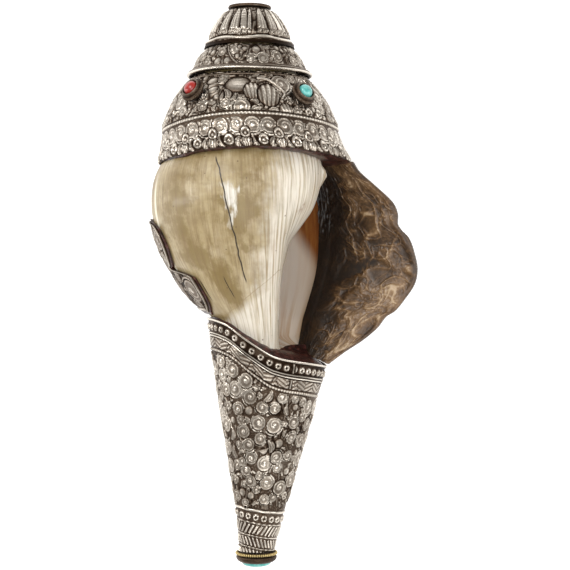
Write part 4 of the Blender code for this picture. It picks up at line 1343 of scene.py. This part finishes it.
# %% The back panel's outline
PANEL_FIRST, PANEL_LAST = 150, 296
PANEL_SIDE = (
    (-0.0160, 152), (-0.0149, 150), (-0.0115, 143), (-0.0080, 140), (-0.0030, 139), (0.0015, 140),
    (0.0039, 142), (0.0058, 151), (0.0070, 162), (0.0083, 166), (0.0095, 162), (0.0135, 158),
    (0.0180, 156.5), (0.0225, 157), (0.0270, 159), (0.0300, 163), (0.0325, 170),
)
PANEL_TOP = (
    (150, 0.0300), (158, 0.0325), (170, 0.0330), (182, 0.0325), (190, 0.0310), (196, 0.0280),
    (201, 0.0300), (210, 0.0385), (220, 0.0400), (229, 0.0375), (235, 0.0345), (241, 0.0380),
    (252, 0.0440), (264, 0.0455), (273, 0.0430), (279, 0.0395), (285, 0.0430), (296, 0.0465),
)
LOBE_SCROLLS = (
    (148.5, -0.0035, 0.0056), (154.0, -0.0112, 0.0030), (159.0, 0.0030, 0.0026), (163.5, 0.0225, 0.0052),
    (164.5, 0.0128, 0.0032), (168.0, 0.0296, 0.0022),
)
PANEL_SIZES = ((0.0046, (scroll,)), (0.0034, (scroll, leaf)), (0.0024, (scroll, leaf)), (0.0014, (boss,)))
PANEL_ROWS, PANEL_COLUMNS = 130, 250
PANEL_FACE, PANEL_BACK = 0.0027, 0.0017
PANEL_TONE_SCALE = 0.78


def panel_grid(rows, columns, distance, lowest, spread=0.0):
    """A grid over the shell's back, whose left side follows the two lobes. It may spread past them."""
    share = np.linspace(0, 1, columns)[None]
    angle = mix(PANEL_FIRST, PANEL_LAST, share)
    down = np.linspace(0, 1, rows)[:, None]
    y = mix(through(PANEL_TOP, angle) + spread, cone_edge(angle) + 0.0036 - spread, down)
    lobes = through(PANEL_SIDE, y) - math.degrees(spread / 0.045)
    angle = angle + (lobes - PANEL_FIRST) * (1 - share) ** 3
    places = shell_point(angle, y, -distance)
    places[..., 2] = np.maximum(places[..., 2], lowest)
    return places, y, angle, angle - lobes


def panel_room(angle, along, size):
    """Whether a motif fits between the panel's sides, its foot and its top."""
    angle = angle % 360
    left = float(through(PANEL_SIDE, along)) + 2 + size / 0.0008
    foot, top = cone_edge(angle) + 0.0060 + size, through(PANEL_TOP, angle) - 0.0024 - size
    return left < angle < PANEL_LAST - 4 and foot < along < top


# %% The back panel
face, y, angle, from_side = panel_grid(PANEL_ROWS, PANEL_COLUMNS, PANEL_FACE, 0.0)
sheet = Sheet(face, shell_centre(y), 0.0008, -0.6, 0.5)
top = through(PANEL_TOP, np.linspace(PANEL_FIRST, PANEL_LAST, PANEL_COLUMNS))[None]
for turn, along, size in LOBE_SCROLLS:
    sheet.stamp(scroll, turn, along, size, turn * 7, 1)
print("panel scrolls", crowd(sheet, LOBE_SCROLLS, panel_room, PANEL_SIZES, 61, tries=700))
sheet.lay((top - y - 0.0010) / 0.0010, 0.9)
sheet.lay((y - cone_edge(angle) - 0.0046) / 0.0008, 0.8)
sheet.lay((from_side - 1.4) / 1.3, 0.95)
sheet.lay((PANEL_LAST - angle - 1.6) / 1.3, 0.8)
worked = face + outward(face) * (sheet.metres() * (face[..., 2] > 0.0004))[..., None]
worked[..., 2] = np.maximum(worked[..., 2], 0.0)
back, _, _, _ = panel_grid(PANEL_ROWS, PANEL_COLUMNS // 5, PANEL_BACK, 0.0011)
# The panel's tone is scaled down, so its silver comes out darker than the other sheets.
plate, tones = wrapped(worked, back, sheet.tone() * PANEL_TONE_SCALE, 0 * back[..., 0] + PLAIN_TONE)
panel = grid_piece("back_panel_sheet", plate, tones)
panel.data.materials.append(repousse_silver)
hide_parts("back_panel")

# %% [markdown]
# ## Lac in the joints
#
# The sheets are bedded in lac, a dark red-brown resin that was poured in warm. It shows as a
# thin uneven seam wherever a sheet meets the shell.

# %% Rings of lac
LAC_COLUMNS = 240
CLEAR = 0.0004


def skirt_radius(y):
    return through([(height, radius) for radius, height in SKIRT_PROFILE[::-1]], y)


def outline_radius(angle, y):
    """The shell's outline, with its mouth closed by a straight line from the pillar to the lip."""
    lip, pillar = shell_radius(LIP_ANGLE, y), shell_radius(0, y)
    opening = math.radians(360 - LIP_ANGLE)
    past = np.radians(np.clip(angle - LIP_ANGLE, 0, None))
    chord = lip * pillar * np.sin(opening) / (lip * np.sin(past) + pillar * np.sin(opening - past))
    return np.where(angle <= LIP_ANGLE, shell_radius(np.minimum(angle, LIP_ANGLE), y), chord)


def lac_ring(name, sections):
    """A ring through sections of (radius, height) arrays, whose last section leads back to its first."""
    angle = np.linspace(0, 360, LAC_COLUMNS)
    rows = [polar(shell_centre(y), angle, radius, y) for radius, y in sections + sections[:1]]
    for row in rows:
        row[-1] = row[0]
    piece = grid_piece(name, np.stack(rows))
    piece.data.materials.append(dark_lac)
    return piece


def rounded_bead(inner, outer, top, bottom):
    """Sections of a bead of lac between two radii: out, down, and back in along a bulging face."""
    bulge = 0.35 * (outer - inner)
    return [
        (inner, top), (outer, top), (outer, bottom + 0.0006), (outer - bulge * 0.3, bottom),
        (mix(inner, outer, 0.5), bottom - 0.0005), (inner + bulge * 0.3, bottom - 0.0003),
        (inner, bottom + 0.0004),
    ]


# %% Dark lac
dark_lac, tree = new_material("dark_red_lac", {"Roughness": 0.36, "IOR": 1.52})
place = add_node(tree, "TexCoord", output="Object")
lumps = add_node(tree, "TexNoise", {"Vector": place, "Scale": 1 / (2.5 * MM), "Detail": 4.0})
lac_stops = ((0.3, "140807"), (0.5, "30140F"), (0.62, "4A2620"), (0.75, "6A4638"))
into_shader(dark_lac, {
    "Base Color": add_node(tree, "ValToRGB", (lumps,), stops=lac_stops),
    "Normal": add_node(tree, "Bump", {"Strength": 1.0, "Distance": 0.8 * MM, "Height": lumps}),
})

# %% The seam under the cap
angle = np.linspace(0, 360, LAC_COLUMNS)
fine = dents(angle / 360, 0 * angle, 1 / 90, 72, wrap=1.0)
uneven = dents(angle / 360, 0 * angle, 1 / 40, 71, wrap=1.0) + 0.5 * fine
seam_low = 0.0646 + 0.0005 * uneven + skirt_lift(angle, 0.0650)
under_skirt = skirt_radius(0.0668) - THICKNESS - 0.0006
on_shell = np.minimum(outline_radius(angle, seam_low) - CLEAR, under_skirt - 0.001)
cap_lac = lac_ring("cap_lac", rounded_bead(on_shell, under_skirt + 0 * angle, seam_low + 0.0030, seam_low))
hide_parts("cap_resin")

# %% The seams in the sheath and under the back panel
CONE_RESIN_RISE = (
    (0, 0.0088), (45, 0.0066), (90, 0.0040), (135, 0.0006), (180, 0.0002), (230, 0.0004), (270, 0.0010),
    (310, 0.0050), (335, 0.0088), (360, 0.0088),
)
edge = cone_edge(angle)
rise = through(CONE_RESIN_RISE, angle) + 0.0004 * uneven


def in_cone(y):
    """The radius about the shell's centre that lies just inside the sheath."""
    offset = cone_centre(y) - shell_centre(y)
    inside = cone_radius(y) - THICKNESS - 0.0005
    return offset * np.cos(np.radians(angle)) + np.sqrt(inside**2 - (offset * np.sin(np.radians(angle))) ** 2)


at_edge, at_shell = in_cone(edge), outline_radius(angle, edge + rise) - CLEAR
deep_in_cone = in_cone(edge - 0.006)
below = np.minimum(outline_radius(angle, edge - 0.0045) - CLEAR, deep_in_cone - CLEAR)
sheath_lac = lac_ring("sheath_lac", [
    (below, edge - 0.0045), (deep_in_cone, edge - 0.006), (at_edge, edge - 0.0004),
    (at_edge - CLEAR, edge + 0.0001), (mix(at_edge, at_shell, 0.35), edge + 0.0007 + rise * 0.45),
    (mix(at_edge, at_shell, 0.7), edge + 0.0006 + rise * 0.8),
    (np.minimum(at_shell, at_edge - CLEAR), edge + rise),
])
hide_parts("cone_resin")

PANEL_LAC_FACE, PANEL_LAC_BACK, PANEL_LAC_SPREAD = 0.0015, 0.0005, 0.0012
face, _, _, _ = panel_grid(90, 160, PANEL_LAC_FACE, 0.0014, PANEL_LAC_SPREAD)
back, _, _, _ = panel_grid(90, 160, PANEL_LAC_BACK, 0.0020, PANEL_LAC_SPREAD)
plate, tones = wrapped(face, back, 0 * face[..., 0], 0 * back[..., 0])
panel_lac = grid_piece("panel_lac", plate, tones)
panel_lac.data.materials.append(dark_lac)
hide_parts("panel_resin")

# %% [markdown]
# ## The crumpled skin
#
# The inside of the wing is dark brown hide, shrunk over lac and varnished. It is glossy on
# its creases, which are painted tan as highlights, and painted nearly black as shade in its folds.

# %% Varnished brown hide
brown_hide, tree = new_material(
    "varnished_brown_hide", {"IOR": 1.45, "Coat Weight": 0.15, "Coat Roughness": 0.25}
)
place = add_node(tree, "TexCoord", output="Object")
# On the skin, the relief attribute holds its painted light and shade rather than a height.
relief = add_node(tree, "Attribute", output="Fac", attribute_name="relief")
pore_size = {"Vector": place, "Scale": 1 / (1.6 * MM), "Detail": 6.0, "Roughness": 0.7}
pores = add_node(tree, "TexNoise", pore_size)
clouds = add_node(tree, "TexNoise", {"Vector": place, "Scale": 1 / (11 * MM), "Detail": 3.0})
speckle = add_node(tree, "Math", (pores, 0.7, -0.35), operation="MULTIPLY_ADD")
drift = add_node(tree, "Math", (clouds, 0.7, -0.35), operation="MULTIPLY_ADD")
tone = add_node(tree, "Math", (speckle, relief), operation="ADD")
tone = add_node(tree, "Math", (tone, drift), operation="ADD", use_clamp=True)
hide_stops = ((0.0, "170B04"), (0.3, "362412"), (0.55, "5E452B"), (0.78, "826749"), (1.0, "AE977A"))
into_shader(brown_hide, {
    "Base Color": add_node(tree, "ValToRGB", (tone,), stops=hide_stops),
    "Roughness": add_node(tree, "MapRange", (tone, 0.0, 1.0, 0.5, 0.28)),
    "Normal": add_node(tree, "Bump", {"Strength": 0.5, "Distance": 0.25 * MM, "Height": pores}),
})
lining.data.materials.append(brown_hide)

# %% [markdown]
# ## The mouthpiece
#
# A plain flanged tube, turned thin at its lip, which closes the top of the crown.

# %% The mouthpiece
MOUTHPIECE_PROFILE = (
    (0.0068, 0.1268), (0.0052, 0.1268), (0.0052, 0.1380), (0.0054, 0.1438), (0.0060, 0.1449),
    (0.0066, 0.1451), (0.0088, 0.1449), (0.0104, 0.1452), (0.0110, 0.1451), (0.0113, 0.1444),
    (0.0111, 0.1438), (0.0098, 0.1436), (0.0070, 0.1435), (0.0068, 0.1420),
)


def turned_about_axis(name, profile, centre, columns, ripple=0.0, waves=0, tone=0.75):
    """A closed turned piece along the trumpet's axis, a little wavy round its edge if asked."""
    radius, y = (np.array(profile + profile[:1])[:, k][:, None] for k in (0, 1))
    angle = np.linspace(0, 360, columns)[None]
    wave = 1 + ripple * np.cos(np.radians(angle) * waves)
    places = polar(centre, angle, radius * wave, y)
    places[:, -1] = places[:, 0]
    return grid_piece(name, places, np.full(places.shape[:2], tone))


mouthpiece = turned_about_axis("mouthpiece_tube", MOUTHPIECE_PROFILE, CAP_X, 120, 0.006, 5, 0.3)
mouthpiece.data.materials.append(polished_silver)
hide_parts("mouthpiece")

# %% [markdown]
# ## The set stones
#
# A red coral and two turquoises sit in stepped silver collars. The lower step is milled.
# The stones are low cabochons, cut by hand, so they are a little uneven.

# %% Collars and stones
STONE_TILT = math.radians(30)
BEZEL_PROFILE = (
    (0.0042, 0.0), (0.0040, 0.0030), (0.0042, 0.0036), (0.0046, 0.0038), (0.0050, 0.0036), (0.0053, 0.0028),
    (0.0054, 0.0021), (0.0057, 0.0019), (0.0061, 0.0017), (0.0064, 0.0012), (0.0064, 0.0007), (0.0062, 0.0),
)
BEZEL_MILLING = (0, 0, 0, 0, 0, 0, 0, 0.3, 1, 1, 0.6, 0)
BEZEL_TEETH, BEZEL_COLUMNS = 36, 145
BEZEL_TONES = ((0, 0.1), (3, 0.5), (5, 0.2), (6, 0.0), (9, 0.4), (12, 0.1))
SEAT_HEIGHT = 0.0010
CABOCHON_PROFILE = (
    (0.0, 0.0008), (0.0037, 0.0008), (0.00375, 0.0020), (0.0036, 0.0034), (0.0031, 0.0044), (0.0022, 0.0051),
    (0.0012, 0.0054), (0.0, 0.0055),
)


def set_on_cap(turn_degrees, stands_at, profile, columns, milling=None, teeth=0, uneven=0.0):
    """Turns a profile of (radius, height) about a stone's own axis, out of the skirt."""
    turn = math.radians(turn_degrees)
    out = Vector((math.sin(turn), 0.0, math.cos(turn)))
    facing = out * math.cos(STONE_TILT) + Vector((0.0, math.sin(STONE_TILT), 0.0))
    seat = out * (float(skirt_radius(stands_at)) + SEAT_HEIGHT)
    seat = seat + Vector((float(cap_centre(stands_at)), stands_at, 0)) + Vector(AXIS)
    right = facing.cross(Vector((0, 1, 0))).normalized()
    up = right.cross(facing)
    angle = np.linspace(0, math.tau, columns)[None]
    radius, height = (np.array(profile)[:, k][:, None] for k in (0, 1))
    if milling is not None:
        radius = radius + 0.00022 * np.array(milling)[:, None] * np.cos(angle * teeth)
    radius = radius * (1 + uneven * np.cos(angle * 2 + 1) + uneven * 0.6 * np.sin(angle * 3))
    across, high = radius * np.cos(angle), radius * np.sin(angle)
    places = (
        np.array(seat) + across[..., None] * np.array(right) + high[..., None] * np.array(up)
        + (height + 0 * angle)[..., None] * np.array(facing)
    )
    places[:, -1] = places[:, 0]
    return places


gems = []
for name, turn, stands_at, slot in STONES:
    collar_name = name.replace("_turquoise", "") + "_bezel"
    closed, milling = BEZEL_PROFILE + BEZEL_PROFILE[:1], BEZEL_MILLING + (0,)
    ring = set_on_cap(turn, stands_at, closed, BEZEL_COLUMNS, milling, BEZEL_TEETH)
    tone = np.interp(np.arange(len(ring)), *zip(*BEZEL_TONES))[:, None]
    bezel = grid_piece(collar_name + "_ring", ring, np.broadcast_to(tone, ring.shape[:2]))
    bezel.data.materials.append(repousse_silver)
    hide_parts(collar_name)
    stone = set_on_cap(turn, stands_at, CABOCHON_PROFILE, 64, uneven=0.012)
    gem = grid_piece(name + "_cabochon", stone)
    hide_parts(name)
    gems.append((gem, slot))

# %% [markdown]
# ## The end of the sheath
#
# A ring of gilt beaded wire, a dark domed cup, and a turquoise in its end.

# %% The beaded wire, the cup and the end stone
FOOT_X = -0.0008
BEADS, BEAD_STEPS, TUBE_SIDES = 60, 10, 12
WIRE_RADIUS, WIRE_Y = 0.0102, -0.1400
WAIST, SWELL = 0.0005, 0.0004
angle = np.linspace(0, 360, BEADS * BEAD_STEPS + 1)[None]
tube = np.linspace(0, math.tau, TUBE_SIDES + 1)[:, None]
swollen = np.abs(np.sin(np.radians(angle) * BEADS / 2)) ** 0.6
bead = WAIST + SWELL * swollen
places = polar(FOOT_X, angle, WIRE_RADIUS + bead * np.cos(tube), WIRE_Y - bead * 0.9 * np.sin(tube))
places[:, -1] = places[:, 0]
wire = grid_piece("gilt_beaded_wire", places, swollen + 0 * tube)
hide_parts("tip_bead_ring")

TIP_CUP_PROFILE = (
    (0.0, -0.1391), (0.0089, -0.1391), (0.0090, -0.1411), (0.0102, -0.1413), (0.0106, -0.1418),
    (0.0106, -0.1423), (0.0103, -0.1431), (0.0098, -0.1438), (0.0091, -0.1443), (0.0084, -0.1446),
    (0.0080, -0.1445), (0.0078, -0.1437), (0.0, -0.1437),
)
TIP_STONE_PROFILE = (
    (0.0, -0.1440), (0.0074, -0.1440), (0.0076, -0.1449), (0.0074, -0.1456), (0.0065, -0.1463),
    (0.0048, -0.1468), (0.0024, -0.1470), (0.0, -0.1471),
)
cup = turned_about_axis("end_cup", TIP_CUP_PROFILE, FOOT_X, 97, 0.004, 8, 0.25)
cup.data.materials.append(repousse_silver)
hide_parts("tip_cup")
end_stone = turned_about_axis("end_turquoise", TIP_STONE_PROFILE, FOOT_X, 97, 0.006, 3)
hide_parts("tip_turquoise")
gems.append((end_stone, "turquoise"))

# %% [markdown]
# ## Gilt wire, coral and turquoise
#
# The wire's gilding is rubbed to a dull yellow. Coral is an even waxy red. Turquoise is a
# green-blue clouded with paler patches and crossed by a few fine brown veins.

# %% Three small finishes
rubbed_gilt, tree = new_material("rubbed_gilt_wire", {"Metallic": 1.0, "Roughness": 0.34})
relief = add_node(tree, "Attribute", output="Fac", attribute_name="relief")
gilt_stops = ((0.0, "3A2A14"), (0.4, "8A7446"), (1.0, "C4B07C"))
into_shader(rubbed_gilt, {"Base Color": add_node(tree, "ValToRGB", (relief,), stops=gilt_stops)})
wire.data.materials.append(rubbed_gilt)

red_coral, tree = new_material(
    "polished_red_coral", {"Roughness": 0.3, "IOR": 1.55, "Coat Weight": 0.3, "Coat Roughness": 0.15}
)
place = add_node(tree, "TexCoord", output="Object")
bands = add_node(tree, "TexNoise", {"Vector": place, "Scale": 1 / (2.2 * MM), "Detail": 3.0})
coral_stops = ((0.3, "7A0E06"), (0.6, "A01C10"), (0.8, "B83828"))
into_shader(red_coral, {"Base Color": add_node(tree, "ValToRGB", (bands,), stops=coral_stops)})

turquoise_stone, tree = new_material(
    "veined_turquoise", {"Roughness": 0.32, "IOR": 1.61, "Coat Weight": 0.25, "Coat Roughness": 0.15}
)
place = add_node(tree, "TexCoord", output="Object")
clouds = add_node(tree, "TexNoise", {"Vector": place, "Scale": 1 / (2.4 * MM), "Detail": 5.0})
blue = add_node(tree, "ValToRGB", (clouds,), stops=((0.3, "38938F"), (0.5, "54B0AA"), (0.7, "7CC8C0")))
from_vein = add_node(
    tree, "TexVoronoi", {"Vector": place, "Scale": 1 / (2.8 * MM)}, feature="DISTANCE_TO_EDGE"
)
vein = add_node(tree, "MapRange", (from_vein, 0.0, 0.05, 0.45, 0.0))
veined = add_node(tree, "Mix", {0: vein, 6: blue, 7: linear("4A5A48")}, 2, data_type="RGBA")
into_shader(turquoise_stone, {"Base Color": veined})
for gem, slot in gems:
    gem.data.materials.append(red_coral if slot == "coral" else turquoise_stone)

# %% [markdown]
# ## The floor and the light
#
# A pale sheet of card and five soft lamps, as in a small product studio. The card glows
# a little, so that it stays white between the lamps.

# %% Floor and background
FLOOR_HALF_WIDTH = 3.0
bm = bmesh.new()
bmesh.ops.create_grid(bm, x_segments=1, y_segments=1, size=FLOOR_HALF_WIDTH)
floor_mesh = bpy.data.meshes.new("floor")
bm.to_mesh(floor_mesh)
bm.free()
floor = bpy.data.objects.new("floor", floor_mesh)
bpy.context.scene.collection.objects.link(floor)
white = linear("FFFFFF")
pale_card, tree = new_material(
    "pale_card", {"Roughness": 0.9, "Base Color": white, "Emission Color": white, "Emission Strength": 0.3}
)
floor_mesh.materials.append(pale_card)

world = bpy.data.worlds.new("studio")
world.use_nodes = True
background = world.node_tree.nodes["Background"]
background.inputs["Color"].default_value = linear("F8F4F0")
background.inputs["Strength"].default_value = 0.52
bpy.context.scene.world = world
bpy.context.scene.view_settings.view_transform = "Standard"

# %% Lamps
LOOK_AT = Vector((0.0, 0.0, 0.05))
LAMPS = (
    ("key", (-0.45, 0.50, 0.80), (0.30, 0.45), 4.0),
    ("right_fill", (0.75, 0.05, 0.50), (0.30, 0.80), 2.8),
    ("left_strip", (-0.75, 0.03, 0.22), (0.06, 0.60), 1.8),
    ("foot", (0.10, -0.80, 0.60), (0.60, 0.30), 2.1),
    ("overhead", (0.10, -0.05, 1.30), (0.80, 0.80), 6.0),
)
for name, place, size, power in LAMPS:
    lamp = bpy.data.lights.new(name, "AREA")
    lamp.shape = "RECTANGLE"
    lamp.size, lamp.size_y = size
    lamp.energy = power
    stand = bpy.data.objects.new(name, lamp)
    stand.location = place
    stand.rotation_euler = (LOOK_AT - Vector(place)).to_track_quat("-Z", "Y").to_euler()
    bpy.context.scene.collection.objects.link(stand)
    print(name, power, "W")
